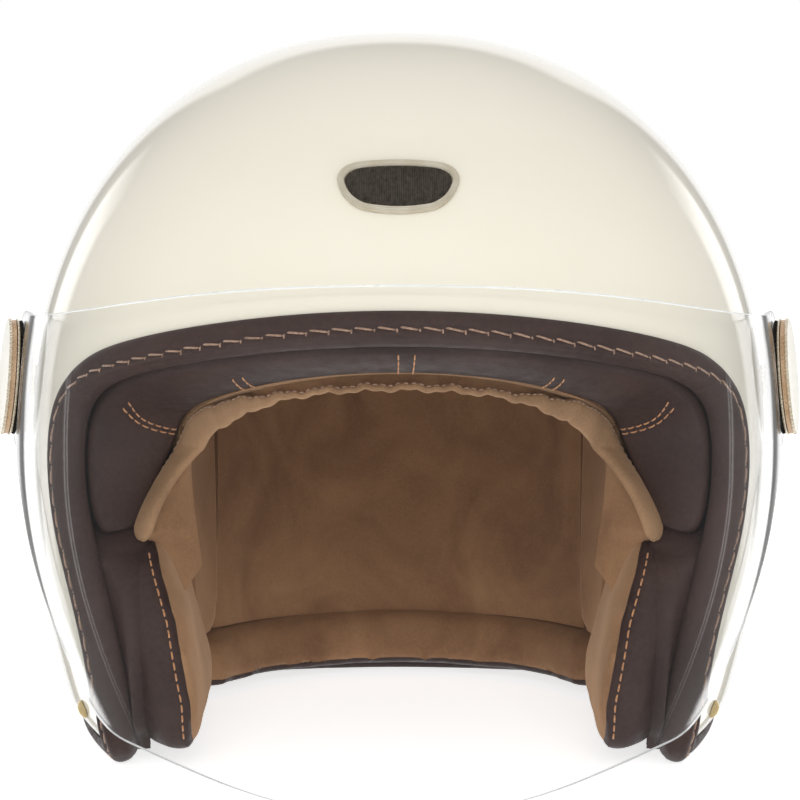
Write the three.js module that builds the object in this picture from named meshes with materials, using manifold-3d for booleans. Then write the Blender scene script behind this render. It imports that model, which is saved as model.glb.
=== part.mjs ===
// An open-face motorcycle helmet with a bubble visor, built as an assembly of separate pieces.
// Frame: millimetres, +Z up, the face opening looks along -Y, the helmet stands on z = 0.
// "left" and "right" are the wearer's: left is +X.
import * as THREE from "three";
import { mergeVertices } from "three/addons/utils/BufferGeometryUtils.js";
import Module from "manifold-3d";

const wasm = await Module();
wasm.setup();

// ---------------------------------------------------------------- driving dimensions
const GAP = 0.35; // clearance between touching pieces
const WALL = 4.5; // moulded shell
const EQUATOR_Z = 100; // height of the widest section
const CENTRE_Y = 10; // where the sections are centred
// A rounded form: half width, reach to the front and rear, height above the equator,
// how far the side, rear and front move in or out by the time they reach z = 0,
// and the exponent of its rounded sections.
// Below z = curlTop the sides also curl in, by curl at z = 0.
const SHELL = {
  side: 128,
  front: 138,
  rear: 140,
  top: 142.5,
  round: 2.2,
  tuckSide: 17.6,
  tuckRear: 40,
  flare: 0,
  curl: 10,
  curlTop: 18,
};
const HEAD = {
  side: 76,
  front: 100,
  rear: 100,
  top: 102,
  round: 2.2,
  tuckSide: 5,
  tuckRear: 25,
  flare: 0,
  curl: 0,
  curlTop: 18,
};
const VISOR = {
  side: 132.5,
  front: 143,
  rear: 143,
  top: 147,
  round: 2.35,
  tuckSide: 29,
  tuckRear: 0,
  flare: 18.2,
  curl: 0,
  curlTop: 18,
};

const LINER = 8; // thickness of the suede comfort liner
const EDGE_CENTRE = new THREE.Vector3(0, CENTRE_Y, 87); // all edge cuts are radial from here

// The line where the leather edge trim meets the painted shell, from brow to nape, one half.
const EDGE_LINE = [
  [0, -120.6, 153.2],
  [43, -115, 150.7],
  [66, -105.7, 147.1],
  [83, -94.5, 142.9],
  [96.5, -82, 137.6],
  [104.2, -73.2, 131.1],
  [110.5, -65.3, 120],
  [112.4, -63.3, 101],
  [110.5, -66, 81],
  [105.8, -71.6, 63],
  [100.3, -75.5, 41],
  [97.8, -74, 24],
  [97.6, -70, 9],
  [100.5, -59, 3.6],
  [108.5, -28, 6],
  [111.5, 20, 10],
  [102.4, 62, 10],
  [61, 102, 7.8],
  [0, 115.8, 7],
];

const TRIM = { cover: 4.4, nose: 10.5, proud: 2.6, inside: 8 };
const PIVOT = { y: -5, z: 123, tilt: 12, lean: 5 }; // the knobs face a little forwards and up
const KNOB = { radius: 20.3, seat: 129.2, bore: 8 };
const VISOR_WALL = 2.2;
const STRAP = { y: -56, z: 17, plane: 88.2, width: 20, wall: 1.8, length: 82 };
const PAD = { inner: 66, slant: 14, outer: 86, top: 76, bottom: 5, rear: 20, lipY: -71 };
const NECK = { front: 42, bottom: 4, seam: 24 }; // the roll at the nape, below a seam of the liner
const BINDING = { radius: 3.2, off: 13.5, lift: 3, flare: 19, flareTop: 114 };
const BADGE = { width: 38, height: 20, z: 188.5, rim: 2.4 };

// ---------------------------------------------------------------- materials
function finish(color, roughness, metalness) {
  return new THREE.MeshStandardMaterial({ color, roughness, metalness });
}
const creamPaint = () => finish(0xe6e1d2, 0.12, 0);
const darkLeather = () => finish(0x3f3230, 0.55, 0);
const tanSuede = () => finish(0x8a6040, 0.95, 0);
const whiteFoam = () => finish(0xdedbd2, 0.9, 0);
const blackWebbing = () => finish(0x2a2320, 0.8, 0);
const blackRubber = () => finish(0x191513, 0.6, 0);
const champagne = () => finish(0xd8b98c, 0.28, 1);
const brass = () => finish(0xb98d45, 0.3, 1);
const steel = () => finish(0x9a9a98, 0.35, 1);
const charcoal = () => finish(0x38332d, 0.5, 0.2);
function clearPlastic() {
  const material = finish(0xeef2f2, 0.03, 0);
  material.transparent = true;
  material.opacity = 0.25;
  return material;
}

// ---------------------------------------------------------------- solids
function toSolid(geometry) {
  const bare = geometry.clone();
  bare.deleteAttribute("normal");
  bare.deleteAttribute("uv");
  const merged = mergeVertices(bare, 1e-3);
  const vertProperties = merged.attributes.position.array;
  const kept = [];
  for (let i = 0; i < merged.index.count; i += 3) {
    const [a, b, c] = [0, 1, 2].map((k) => merged.index.getX(i + k));
    if (a !== b && b !== c && c !== a) kept.push(a, b, c);
  }
  const triVerts = new Uint32Array(kept);
  const solid = new wasm.Manifold(new wasm.Mesh({ numProp: 3, vertProperties, triVerts }));
  if (solid.volume() > 0) return solid;
  for (let i = 0; i < triVerts.length; i += 3) {
    [triVerts[i + 1], triVerts[i + 2]] = [triVerts[i + 2], triVerts[i + 1]];
  }
  return new wasm.Manifold(new wasm.Mesh({ numProp: 3, vertProperties, triVerts }));
}

function toGeometry(solid) {
  const mesh = solid.getMesh();
  const position = new THREE.BufferAttribute(new Float32Array(mesh.vertProperties), 3);
  const geometry = new THREE.BufferGeometry();
  geometry.setAttribute("position", position);
  geometry.setIndex(new THREE.BufferAttribute(new Uint32Array(mesh.triVerts), 1));
  geometry.computeVertexNormals();
  return geometry;
}

// The biggest body of a solid, so that slivers left by a cut are dropped.
function mainBody(solid) {
  const bodies = solid.decompose();
  bodies.sort((a, b) => b.volume() - a.volume());
  return bodies[0];
}

function boxSolid([x0, x1], [y0, y1], [z0, z1]) {
  const geometry = new THREE.BoxGeometry(x1 - x0, y1 - y0, z1 - z0);
  geometry.translate((x0 + x1) / 2, (y0 + y1) / 2, (z0 + z1) / 2);
  return toSolid(geometry);
}

// ---------------------------------------------------------------- rounded forms
function grow(form, by) {
  return { ...form, side: form.side + by, front: form.front + by, rear: form.rear + by, top: form.top + by };
}

const signedPower = (value, power) => Math.sign(value) * Math.abs(value) ** power;

// Half width, front reach and rear reach of the section at height z.
function section(form, z) {
  if (z >= EQUATOR_Z) {
    const rise = Math.min(1, (z - EQUATOR_Z) / form.top);
    const scale = (1 - rise ** form.round) ** (1 / form.round);
    return { side: form.side * scale, front: form.front * scale, rear: form.rear * scale };
  }
  const drop = (EQUATOR_Z - z) / EQUATOR_Z;
  const curl = form.curl * Math.max(0, 1 - z / form.curlTop) ** 2;
  return {
    side: form.side - form.tuckSide * drop ** 2 - curl,
    front: form.front + form.flare * drop ** 1.5,
    rear: form.rear - form.tuckRear * drop ** 2,
  };
}

function formSolid(form, around = 32, rings = 16, floor = -14) {
  const geometry = new THREE.SphereGeometry(1, around, rings);
  const position = geometry.attributes.position;
  const point = new THREE.Vector3();
  for (let i = 0; i < position.count; i++) {
    point.fromBufferAttribute(position, i);
    const polar = Math.acos(THREE.MathUtils.clamp(point.y, -1, 1));
    const turn = Math.atan2(point.z, point.x);
    let z = floor;
    let reach = 1;
    if (polar <= Math.PI / 2) {
      z = EQUATOR_Z + form.top * signedPower(Math.cos(polar), 2 / form.round);
    } else {
      const down = (polar / Math.PI - 0.5) * 2;
      z = THREE.MathUtils.lerp(EQUATOR_Z, floor, Math.min(1, down / 0.9));
      reach = Math.min(1, (1 - down) / 0.1);
    }
    const size = section(form, z);
    const across = signedPower(Math.cos(turn), 2 / form.round);
    const along = signedPower(Math.sin(turn), 2 / form.round);
    const depth = along < 0 ? size.front : size.rear;
    position.setXYZ(i, size.side * reach * across, CENTRE_Y + depth * reach * along, z);
  }
  return toSolid(geometry);
}

// Below 1 inside the form, above 1 outside it.
function formValue(form, point) {
  const size = section(form, Math.min(point.z, EQUATOR_Z + form.top * 0.999));
  const depth = point.y < CENTRE_Y ? size.front : size.rear;
  const across = Math.abs(point.x / size.side) ** form.round;
  const flat = across + Math.abs((point.y - CENTRE_Y) / depth) ** form.round;
  return point.z > EQUATOR_Z + form.top ? 2 : flat;
}

// The point where the ray from the edge centre through a point meets the form.
function ontoForm(form, point) {
  let near = 0;
  let far = 2;
  const ray = point.clone().sub(EDGE_CENTRE);
  const at = (k) => EDGE_CENTRE.clone().addScaledVector(ray, k);
  for (let i = 0; i < 40; i++) {
    const middle = (near + far) / 2;
    if (formValue(form, at(middle)) < 1) near = middle;
    else far = middle;
  }
  return at(near);
}

// How far out the side of the form is at (y, z).
function formSideX(form, y, z) {
  const size = section(form, z);
  const depth = y < CENTRE_Y ? size.front : size.rear;
  return size.side * (1 - Math.abs((y - CENTRE_Y) / depth) ** form.round) ** (1 / form.round);
}

function formNormal(form, point) {
  const step = 0.5;
  const slope = (axis) => {
    const ahead = point.clone().addScaledVector(axis, step);
    const behind = point.clone().addScaledVector(axis, -step);
    return formValue(form, ahead) - formValue(form, behind);
  };
  const x = slope(new THREE.Vector3(1, 0, 0));
  const y = slope(new THREE.Vector3(0, 1, 0));
  const z = slope(new THREE.Vector3(0, 0, 1));
  return new THREE.Vector3(x, y, z).normalize();
}

// ---------------------------------------------------------------- the edge of the shell
const EDGE_STEPS = 48;

// Frames round the whole shell edge: point, outward normal, and direction off the edge.
function edgeFrames() {
  const half = EDGE_LINE.map((p) => new THREE.Vector3(...p));
  const other = half.slice(1, -1).reverse().map((p) => new THREE.Vector3(-p.x, p.y, p.z));
  const curve = new THREE.CatmullRomCurve3([...half, ...other], true, "centripetal");
  const points = curve.getSpacedPoints(EDGE_STEPS).slice(0, EDGE_STEPS).map((p) => ontoForm(SHELL, p));
  return points.map((point, i) => {
    const next = points[(i + 1) % EDGE_STEPS];
    const last = points[(i + EDGE_STEPS - 1) % EDGE_STEPS];
    const along = next.clone().sub(last).normalize();
    const out = formNormal(SHELL, point);
    const off = along.clone().cross(out).normalize();
    return { point, out, off };
  });
}
const EDGE = edgeFrames();
const OFF_SIGN = Math.sign(EDGE[0].off.z) === -1 ? 1 : -1;

// A point beside the edge line: off runs away from the shell, out is proud of it.
function besideEdge(frame, off, out) {
  const moved = frame.point.clone().addScaledVector(frame.off, off * OFF_SIGN);
  return moved.addScaledVector(frame.out, out);
}

// Everything that is open, seen from the edge centre: a cone through the edge line moved by off.
function openSide(off) {
  const far = 3;
  const rim = EDGE.map((frame) => {
    const point = besideEdge(frame, off, 0).sub(EDGE_CENTRE);
    return point.multiplyScalar(far).add(EDGE_CENTRE);
  });
  const cap = EDGE_CENTRE.clone().add(new THREE.Vector3(0, -350, -900));
  const vertices = [EDGE_CENTRE, cap, ...rim].flatMap((p) => p.toArray());
  const faces = [];
  rim.forEach((_, i) => {
    const a = 2 + i;
    const b = 2 + ((i + 1) % rim.length);
    faces.push(0, a, b, 1, b, a);
  });
  const geometry = new THREE.BufferGeometry();
  geometry.setAttribute("position", new THREE.Float32BufferAttribute(vertices, 3));
  geometry.setIndex(faces);
  return toSolid(geometry);
}

// A closed tube whose section is given by place(step, corner).
function ringSolid(steps, corners, place) {
  const geometry = new THREE.TorusGeometry(1, 0.5, corners, steps);
  const position = geometry.attributes.position;
  for (let i = 0; i < position.count; i++) {
    const corner = Math.floor(i / (steps + 1)) % corners;
    const step = (i % (steps + 1)) % steps;
    position.setXYZ(i, ...place(step, corner).toArray());
  }
  return toSolid(geometry);
}

// ---------------------------------------------------------------- outlines
// A prism along X whose outline is drawn as (y, z) points.
function sidePrism(outline, x0, x1) {
  const shape = outline instanceof THREE.Shape ? outline : new THREE.Shape(outline);
  const flat = { depth: x1 - x0, bevelEnabled: false, curveSegments: 6 };
  const geometry = new THREE.ExtrudeGeometry(shape, flat);
  const turn = new THREE.Matrix4().set(0, 0, 1, x0, 1, 0, 0, 0, 0, 1, 0, 0, 0, 0, 0, 1);
  geometry.applyMatrix4(turn);
  return toSolid(geometry);
}

// A turned piece about X: profile points are (radius, x).
function turned(profile, segments = 16) {
  const geometry = new THREE.LatheGeometry(profile.map((p) => new THREE.Vector2(...p)), segments);
  geometry.rotateZ(-Math.PI / 2);
  return geometry;
}

// ---------------------------------------------------------------- assembly
const helmet = new THREE.Group();
helmet.name = "open_face_helmet";

function add(name, geometry, material, parent = helmet) {
  const mesh = new THREE.Mesh(geometry, material);
  mesh.name = name;
  parent.add(mesh);
  return mesh;
}

const SIDES = [
  { label: "left", sign: 1 },
  { label: "right", sign: -1 },
];

// Mirrors a solid made for the left (+X) side when the right one is wanted.
function onSide(solid, sign) {
  return sign > 0 ? solid : solid.mirror([1, 0, 0]);
}

const COARSE = [24, 12]; // facets of the hidden foam and padding
const shellSkin = formSolid(SHELL);
const shellInside = formSolid(grow(SHELL, -WALL));
const headSpace = formSolid(HEAD, ...COARSE);
const linerBack = formSolid(grow(HEAD, LINER), ...COARSE);
// It curls in a little more than the shell, so that it keeps its distance round the lower edge.
const foamFace = formSolid({ ...grow(SHELL, -WALL - 6 * GAP), curl: SHELL.curl + 10 }, 28, 12);
const paddingFace = formSolid(grow(SHELL, -TRIM.inside - 2.2), ...COARSE);

// A round hole along X, from x0 to x1, at (y, z).
function holeSolid(radius, x0, x1, y, z) {
  const geometry = new THREE.CylinderGeometry(radius, radius, x1 - x0, 20);
  geometry.rotateZ(Math.PI / 2);
  geometry.translate((x0 + x1) / 2, y, z);
  return toSolid(geometry);
}

function bothSides(solid) {
  return solid.add(solid.mirror([1, 0, 0]));
}

const RIVET = { shank: 2, head: 3.1, rise: 1.9 };
const PIVOT_NUT = { radius: 7 };
const rivetHoles = bothSides(holeSolid(RIVET.shank + GAP, 80, 130, STRAP.y, STRAP.z));
const pivotHoles = bothSides(holeSolid(3 + GAP, 100, 140, PIVOT.y, PIVOT.z));
const nutPockets = bothSides(holeSolid(PIVOT_NUT.radius + GAP, 110, 124, PIVOT.y, PIVOT.z));

function outerShell() {
  const solid = shellSkin.subtract(shellInside).subtract(openSide(TRIM.cover));
  return mainBody(solid.subtract(rivetHoles).subtract(pivotHoles));
}

// The path of a strap as it swings down past the leather roll.
const strapSwing = boxSolid([STRAP.plane - 3, STRAP.plane + 6.2], [STRAP.y - 11, 30], [-20, 30]);

// The leather roll round the edge, which a slot lets the shell sit in.
const TRIM_SECTION = [
  [0.2, GAP],
  [0.9, TRIM.proud * 0.7],
  [3.2, TRIM.proud],
  [7.2, TRIM.proud * 0.8],
  [9.6, -0.4],
  [TRIM.nose, -3],
  [9.2, -6.2],
  [6.8, -TRIM.inside],
  [2.6, -TRIM.inside],
  [0.6, -WALL - GAP],
];

function edgeTrim() {
  const ring = ringSolid(EDGE_STEPS, TRIM_SECTION.length, (step, corner) => {
    const [off, out] = TRIM_SECTION[corner];
    return besideEdge(EDGE[step], off, out);
  });
  const slot = formSolid(grow(SHELL, GAP)).subtract(formSolid(grow(SHELL, -WALL - GAP)));
  const below = boxSolid([-200, 200], [-200, 200], [-40, 0]);
  const cut = slot.subtract(openSide(TRIM.cover + GAP)).add(below).add(bothSides(strapSwing));
  return mainBody(ring.subtract(cut));
}

// ---- padding
const padOutline = (margin) => {
  const m = margin;
  const shape = new THREE.Shape();
  shape.moveTo(PAD.rear + m, 24);
  shape.lineTo(PAD.rear + m, PAD.top - 12);
  shape.quadraticCurveTo(PAD.rear + m, PAD.top + m, PAD.rear - 14, PAD.top + m);
  shape.lineTo(-56, PAD.top + m);
  shape.quadraticCurveTo(-73, PAD.top + m, -79 - m, PAD.top - 26);
  shape.quadraticCurveTo(-87 - m, 30, -80 - m, 13);
  shape.quadraticCurveTo(-76, PAD.bottom - m, -66, PAD.bottom - m);
  shape.lineTo(PAD.rear - 18, PAD.bottom + 3 - m);
  shape.quadraticCurveTo(PAD.rear + m, PAD.bottom + 3 - m, PAD.rear + m, 24);
  return shape;
};

// What the pad's inner face leaves free: it leans outwards towards the top.
function padSlant(margin) {
  const shape = new THREE.Shape();
  const [low, middle] = [PAD.bottom + 18, PAD.top - 26];
  shape.moveTo(PAD.inner - 20, low);
  shape.lineTo(PAD.inner - margin, low);
  shape.lineTo(PAD.inner + PAD.slant * 0.35 - margin, middle);
  shape.lineTo(PAD.inner + PAD.slant - margin, PAD.top + 2);
  shape.lineTo(PAD.inner - 20, PAD.top + 2);
  const geometry = new THREE.ExtrudeGeometry(shape, { depth: 260, bevelEnabled: false });
  geometry.rotateX(Math.PI / 2);
  geometry.translate(0, 130, 0);
  return toSolid(geometry);
}

// One cheek pad: a thick block with a front lip that reaches out to the edge trim.
function cheekPadSolid(margin) {
  const body = sidePrism(padOutline(margin), PAD.inner - margin, PAD.outer + margin);
  const lipSpan = boxSolid([PAD.inner - margin, 140], [-130, PAD.lipY + margin], [-10, 90]);
  const lip = sidePrism(padOutline(margin), PAD.inner - margin, 130).intersect(lipSpan);
  const limit = margin > 0 ? foamFace : paddingFace;
  return body.add(lip).intersect(limit).subtract(padSlant(margin));
}

const SNAP = { radius: 5, depth: 5, places: [[-22, 50], [4, 50]] };
const snapPockets = SNAP.places
  .map(([y, z]) => holeSolid(SNAP.radius + GAP, PAD.outer - 3.2, PAD.outer + 3.6, y, z))
  .reduce((all, one) => all.add(one));

// Room for the straps to swing down past the pads, and an open bay behind the pads for the rings.
const strapSlot = boxSolid([PAD.outer + GAP, 98.5], [PAD.lipY + GAP, 42], [-20, 30.5]).add(
  boxSolid([40, 99.5], [PAD.rear + 1, 42], [-20, 30.5]),
);
const napePocket = formSolid(grow(SHELL, -TRIM.inside - 1), ...COARSE).intersect(
  boxSolid([-140, 140], [NECK.front - 1, 160], [-20, NECK.seam + 0.4]),
);

function foamLiner() {
  let solid = foamFace.subtract(linerBack).subtract(openSide(-1.5));
  solid = solid.subtract(bothSides(cheekPadSolid(GAP))).subtract(bothSides(strapSlot));
  solid = solid.subtract(napePocket).subtract(bothSides(snapPockets));
  solid = solid.subtract(rivetHoles).subtract(pivotHoles).subtract(nutPockets);
  return mainBody(solid);
}

const PAD_CLEAR_Z = PAD.top + 2;

function browPanel() {
  const slab = paddingFace.subtract(linerBack).subtract(openSide(8)).intersect(openSide(-1));
  return mainBody(slab.intersect(boxSolid([-140, 140], [-140, 30], [PAD_CLEAR_Z, 200])));
}

const SEAM_X = 66;
const linerLayer = formSolid(grow(HEAD, LINER - GAP), ...COARSE).subtract(headSpace).subtract(openSide(6.5));

function crownLiner() {
  const middle = boxSolid([-SEAM_X, SEAM_X], [-140, 160], [NECK.seam + GAP, 230]);
  return mainBody(linerLayer.intersect(middle));
}

function sideLiner() {
  const side = boxSolid([SEAM_X + GAP, 140], [-140, 160], [NECK.seam + GAP, 230]);
  const overPad = boxSolid([0, 140], [-140, NECK.front - 1], [-20, PAD_CLEAR_Z]);
  return mainBody(linerLayer.intersect(side).subtract(overPad));
}

function neckRoll() {
  const band = boxSolid([-140, 140], [NECK.front, 160], [NECK.bottom, NECK.seam]);
  return mainBody(paddingFace.subtract(headSpace).intersect(band));
}

// The binding flares out over the leather panel towards the cheeks.
function bindingPoint(frame) {
  const { point } = frame;
  const share = THREE.MathUtils.clamp((BINDING.flareTop - point.z) / (BINDING.flareTop - PAD.top), 0, 1);
  return ontoForm(grow(HEAD, BINDING.lift + BINDING.flare * share), besideEdge(frame, BINDING.off, 0));
}

// The suede binding that finishes the front edge of the liner.
function frontBinding() {
  const span = EDGE.filter((frame) => frame.point.y < -20 && frame.point.z > PAD_CLEAR_Z + 4);
  const start = span.findIndex((frame, i) => i > 0 && frame.point.x < 0 && span[i - 1].point.x >= 0);
  const ordered = start > 0 ? [...span.slice(start), ...span.slice(0, start)] : span;
  const path = ordered.map(bindingPoint);
  const curve = new THREE.CatmullRomCurve3(path.filter((_, i) => i % 2 === 0));
  const round = new THREE.Shape();
  round.absarc(0, 0, BINDING.radius, 0, Math.PI * 2, false);
  const sweep = { extrudePath: curve, steps: 24, curveSegments: 3, bevelEnabled: false };
  return new THREE.ExtrudeGeometry(round, sweep);
}

// ---- visor
function visorOutline() {
  const shape = new THREE.Shape();
  const ear = KNOB.radius + 2.7;
  shape.moveTo(-175, 176);
  shape.lineTo(-125, 161);
  shape.bezierCurveTo(-100, 153.5, -75, 146, PIVOT.y, PIVOT.z + ear);
  shape.absarc(PIVOT.y, PIVOT.z, ear, Math.PI / 2, -Math.PI / 2, true);
  shape.bezierCurveTo(-26, 99, -38, 92, -45, 74);
  shape.bezierCurveTo(-55, 56, -66, 40, -76, 28);
  shape.quadraticCurveTo(-84, 17, -100, 16);
  shape.bezierCurveTo(-122, 15, -132, 11, -150, 4.2);
  shape.lineTo(-190, 0);
  return shape;
}

// Where the pivot hardware sits: u runs outwards along the tilted knob axis from the ear's inner face.
function atKnob(geometry) {
  geometry.rotateY(THREE.MathUtils.degToRad(-PIVOT.lean));
  geometry.rotateZ(THREE.MathUtils.degToRad(-PIVOT.tilt));
  geometry.translate(KNOB.seat, PIVOT.y, PIVOT.z);
  return geometry;
}

function knobTube(outer, inner, u0, u1) {
  return atKnob(turned([[inner, u0], [outer, u0], [outer, u1], [inner, u1], [inner, u0]], 24));
}

// The visor: a bubble sheet whose ears are flat discs set at the angle of the knobs.
function visorSolid() {
  const skin = formSolid(VISOR, 40, 14);
  const sheet = skin.subtract(formSolid(grow(VISOR, -VISOR_WALL), 40, 14));
  const ear = KNOB.radius + 2.7;
  const clearing = toSolid(knobTube(ear - 0.3, 0, -20, 20));
  const disc = toSolid(knobTube(ear, 0, 0, VISOR_WALL));
  const joggle = toSolid(knobTube(ear + VISOR_WALL - 0.3, ear - 0.5, 0.1, 9)).intersect(skin);
  const shield = sheet.intersect(sidePrism(visorOutline(), -150, 150)).subtract(bothSides(clearing));
  return mainBody(shield.add(bothSides(disc.add(joggle))).subtract(pivotHoles));
}

// ---- pivot hardware, made for the left side
const SEAT = { washer: -1.3, gasket: 2.5, ring: 3.9, cap: 5, rim: 6.9, crown: 8.7 };

function pivotWasher() {
  return toSolid(knobTube(19.3, 6.6, SEAT.washer, -GAP));
}

// A rubber ring with shallow grip flutes round its edge.
function knobGasket() {
  const flutes = 20;
  const shape = new THREE.Shape();
  for (let i = 0; i < flutes * 2; i++) {
    const radius = i % 2 ? 19.7 : 19.1;
    const turn = (i * Math.PI) / flutes;
    shape[i ? "lineTo" : "moveTo"](radius * Math.cos(turn), radius * Math.sin(turn));
  }
  const bore = new THREE.Path();
  bore.absarc(0, 0, KNOB.bore, 0, Math.PI * 2, true);
  shape.holes.push(bore);
  const geometry = new THREE.ExtrudeGeometry(shape, { depth: 1.1, bevelEnabled: false, curveSegments: 16 });
  geometry.rotateY(Math.PI / 2);
  geometry.translate(SEAT.gasket, 0, 0);
  return toSolid(atKnob(geometry));
}

function knobRing() {
  const { radius, bore } = KNOB;
  const profile = [
    [bore, SEAT.ring],
    [radius - 0.7, SEAT.ring],
    [radius, SEAT.ring + 0.5],
    [radius - 0.3, SEAT.ring + 0.8],
    [bore, SEAT.ring + 0.8],
    [bore, SEAT.ring],
  ];
  return toSolid(atKnob(turned(profile, 24)));
}

// The domed cap, hollow behind so that it covers the screw head.
function knobCap() {
  const { radius, bore } = KNOB;
  const dome = [0.94, 0.75, 0.4].map((share) => [
    radius * share,
    SEAT.rim + 0.3 + (SEAT.crown - SEAT.rim - 0.3) * Math.sqrt(1 - share ** 2),
  ]);
  const profile = [
    [0, SEAT.rim + 0.4],
    [bore, SEAT.rim + 0.4],
    [bore, SEAT.cap],
    [radius - 0.6, SEAT.cap],
    [radius - 0.6, SEAT.rim - 0.3],
    [radius, SEAT.rim],
    ...dome,
    [0, SEAT.crown],
  ];
  return toSolid(atKnob(turned(profile, 24)));
}

function alongX(profile, y, z, segments = 16) {
  const geometry = turned(profile, segments);
  geometry.translate(0, y, z);
  return toSolid(geometry);
}

function pivotSpacer() {
  const bore = 3 + GAP;
  const [start, end] = [127.3, 127.9];
  const outer = 5.8;
  return alongX([[bore, start], [outer, start], [outer, end], [bore, end], [bore, start]], PIVOT.y, PIVOT.z);
}

function pivotScrew() {
  const profile = [[0, 112], [3, 112], [3, 133.2], [5.5, 133.2], [5.5, 134.4], [4.6, 135], [0, 135]];
  return alongX(profile, PIVOT.y, PIVOT.z);
}

function pivotNut() {
  const bore = 3 + GAP;
  const { radius } = PIVOT_NUT;
  const [start, flange, end] = [111, 117.6, 119.2];
  const barrel = 4.8;
  const barrelLine = [[bore, start], [barrel, start], [barrel, flange]];
  const profile = [...barrelLine, [radius, flange], [radius, end], [bore, end]];
  return alongX([...profile, profile[0]], PIVOT.y, PIVOT.z);
}

// ---- badge on the forehead
function badgeOutline(inset) {
  const half = BADGE.width / 2 - inset;
  const rise = BADGE.height / 2 - inset;
  const shape = new THREE.Shape();
  shape.moveTo(-half, rise * 0.35);
  shape.quadraticCurveTo(-half * 0.98, rise * 0.86, -half * 0.62, rise * 0.95);
  shape.quadraticCurveTo(0, rise * 1.05, half * 0.62, rise * 0.95);
  shape.quadraticCurveTo(half * 0.98, rise * 0.86, half, rise * 0.35);
  shape.quadraticCurveTo(half * 0.93, -rise * 0.5, half * 0.6, -rise * 0.83);
  shape.quadraticCurveTo(0, -rise * 1.17, -half * 0.6, -rise * 0.83);
  shape.quadraticCurveTo(-half * 0.93, -rise * 0.5, -half, rise * 0.35);
  return shape;
}

// A prism through the badge outline, square to the shell at the badge's centre.
function badgePrism(inset) {
  const depth = 30;
  const prism = { depth, bevelEnabled: false, curveSegments: 5 };
  const geometry = new THREE.ExtrudeGeometry(badgeOutline(inset), prism);
  const centre = ontoForm(SHELL, new THREE.Vector3(0, -100, BADGE.z));
  const lean = Math.asin(formNormal(SHELL, centre).z);
  geometry.translate(0, 0, -depth / 2);
  geometry.rotateX(Math.PI / 2 - lean);
  geometry.translate(centre.x, centre.y, centre.z);
  return toSolid(geometry);
}

function badgeLayer(prism, thickness) {
  const fine = [48, 30];
  const skin = formSolid(grow(SHELL, thickness), ...fine).subtract(formSolid(grow(SHELL, GAP), ...fine));
  return mainBody(skin.intersect(prism));
}

// ---- chin strap, made for the left side
function strapRivet() {
  const seat = new THREE.Vector3(formSideX(SHELL, STRAP.y, STRAP.z), STRAP.y, STRAP.z);
  const out = formNormal(SHELL, seat);
  const { shank, head, rise } = RIVET;
  const tail = STRAP.plane - 1.3;
  const pin = alongX([[0, tail], [shank, tail], [shank, seat.x + 0.6], [0, seat.x + 0.6]], STRAP.y, STRAP.z);
  const dome = [[0, -1.2], [head, 0.4], [head * 0.93, 1], [head * 0.5, rise - 0.2], [0, rise]];
  const cap = new THREE.LatheGeometry(dome.map((p) => new THREE.Vector2(...p)), 16);
  cap.applyQuaternion(new THREE.Quaternion().setFromUnitVectors(new THREE.Vector3(0, 1, 0), out));
  cap.translate(seat.x, seat.y, seat.z);
  const bed = formSolid(grow(SHELL, GAP));
  return mainBody(toSolid(cap).subtract(bed).add(pin));
}

// The steel plate that turns on the rivet and holds the end of the webbing.
function strapAnchor() {
  const plate = 7.4;
  const shape = new THREE.Shape();
  shape.absarc(0, 0, plate, Math.PI / 2, -Math.PI / 2, false);
  shape.lineTo(2 * plate, -plate);
  shape.lineTo(2 * plate, plate);
  shape.lineTo(0, plate);
  const hole = new THREE.Path();
  hole.absarc(0, 0, RIVET.shank + GAP, 0, Math.PI * 2, true);
  shape.holes.push(hole);
  const geometry = new THREE.ExtrudeGeometry(shape, { depth: 1.2, bevelEnabled: false, curveSegments: 10 });
  const x = STRAP.plane - 1.3;
  const turn = new THREE.Matrix4().set(0, 0, 1, x, 1, 0, 0, STRAP.y, 0, 1, 0, STRAP.z, 0, 0, 0, 1);
  geometry.applyMatrix4(turn);
  return toSolid(geometry);
}

// Webbing drawn from above as a closed (x, y) outline and given the strap's width along Z.
function webbing(outline) {
  const shape = new THREE.Shape(outline.map(([x, y]) => new THREE.Vector2(x, y)));
  const geometry = new THREE.ExtrudeGeometry(shape, { depth: STRAP.width, bevelEnabled: false });
  geometry.translate(0, 0, STRAP.z - STRAP.width / 2);
  return toSolid(geometry);
}

const STRAP_START = STRAP.y + 9.5;
const BAR_Y = STRAP.y + STRAP.length; // where the ring bars sit
const RING = { wire: 1.25, half: 11.5, depth: 12.6, planes: [STRAP.plane - 0.4, STRAP.plane + 2.4] };
const LOOP = { x0: STRAP.plane - 3.2, x1: STRAP.plane + 5.2, wall: 1.2, reach: 3.1 };

// The short strap: it ends in a flat loop that holds the two rings.
function ringStrap() {
  const x0 = STRAP.plane + GAP;
  const x1 = x0 + STRAP.wall;
  const outline = [
    [x0, STRAP_START],
    [x1, STRAP_START],
    [x1, BAR_Y - 6],
    [LOOP.x1, BAR_Y - LOOP.reach],
    [LOOP.x1, BAR_Y + LOOP.reach - 1],
    [LOOP.x1 - 1, BAR_Y + LOOP.reach],
    [LOOP.x0 + 1, BAR_Y + LOOP.reach],
    [LOOP.x0, BAR_Y + LOOP.reach - 1],
    [LOOP.x0, BAR_Y - LOOP.reach],
    [x0, BAR_Y - 6],
  ];
  const eyeReach = LOOP.reach - LOOP.wall;
  const eye = boxSolid(
    [LOOP.x0 + LOOP.wall, LOOP.x1 - LOOP.wall],
    [BAR_Y - eyeReach, BAR_Y + eyeReach],
    [-10, 40],
  );
  return mainBody(webbing(outline).subtract(eye));
}

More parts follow.
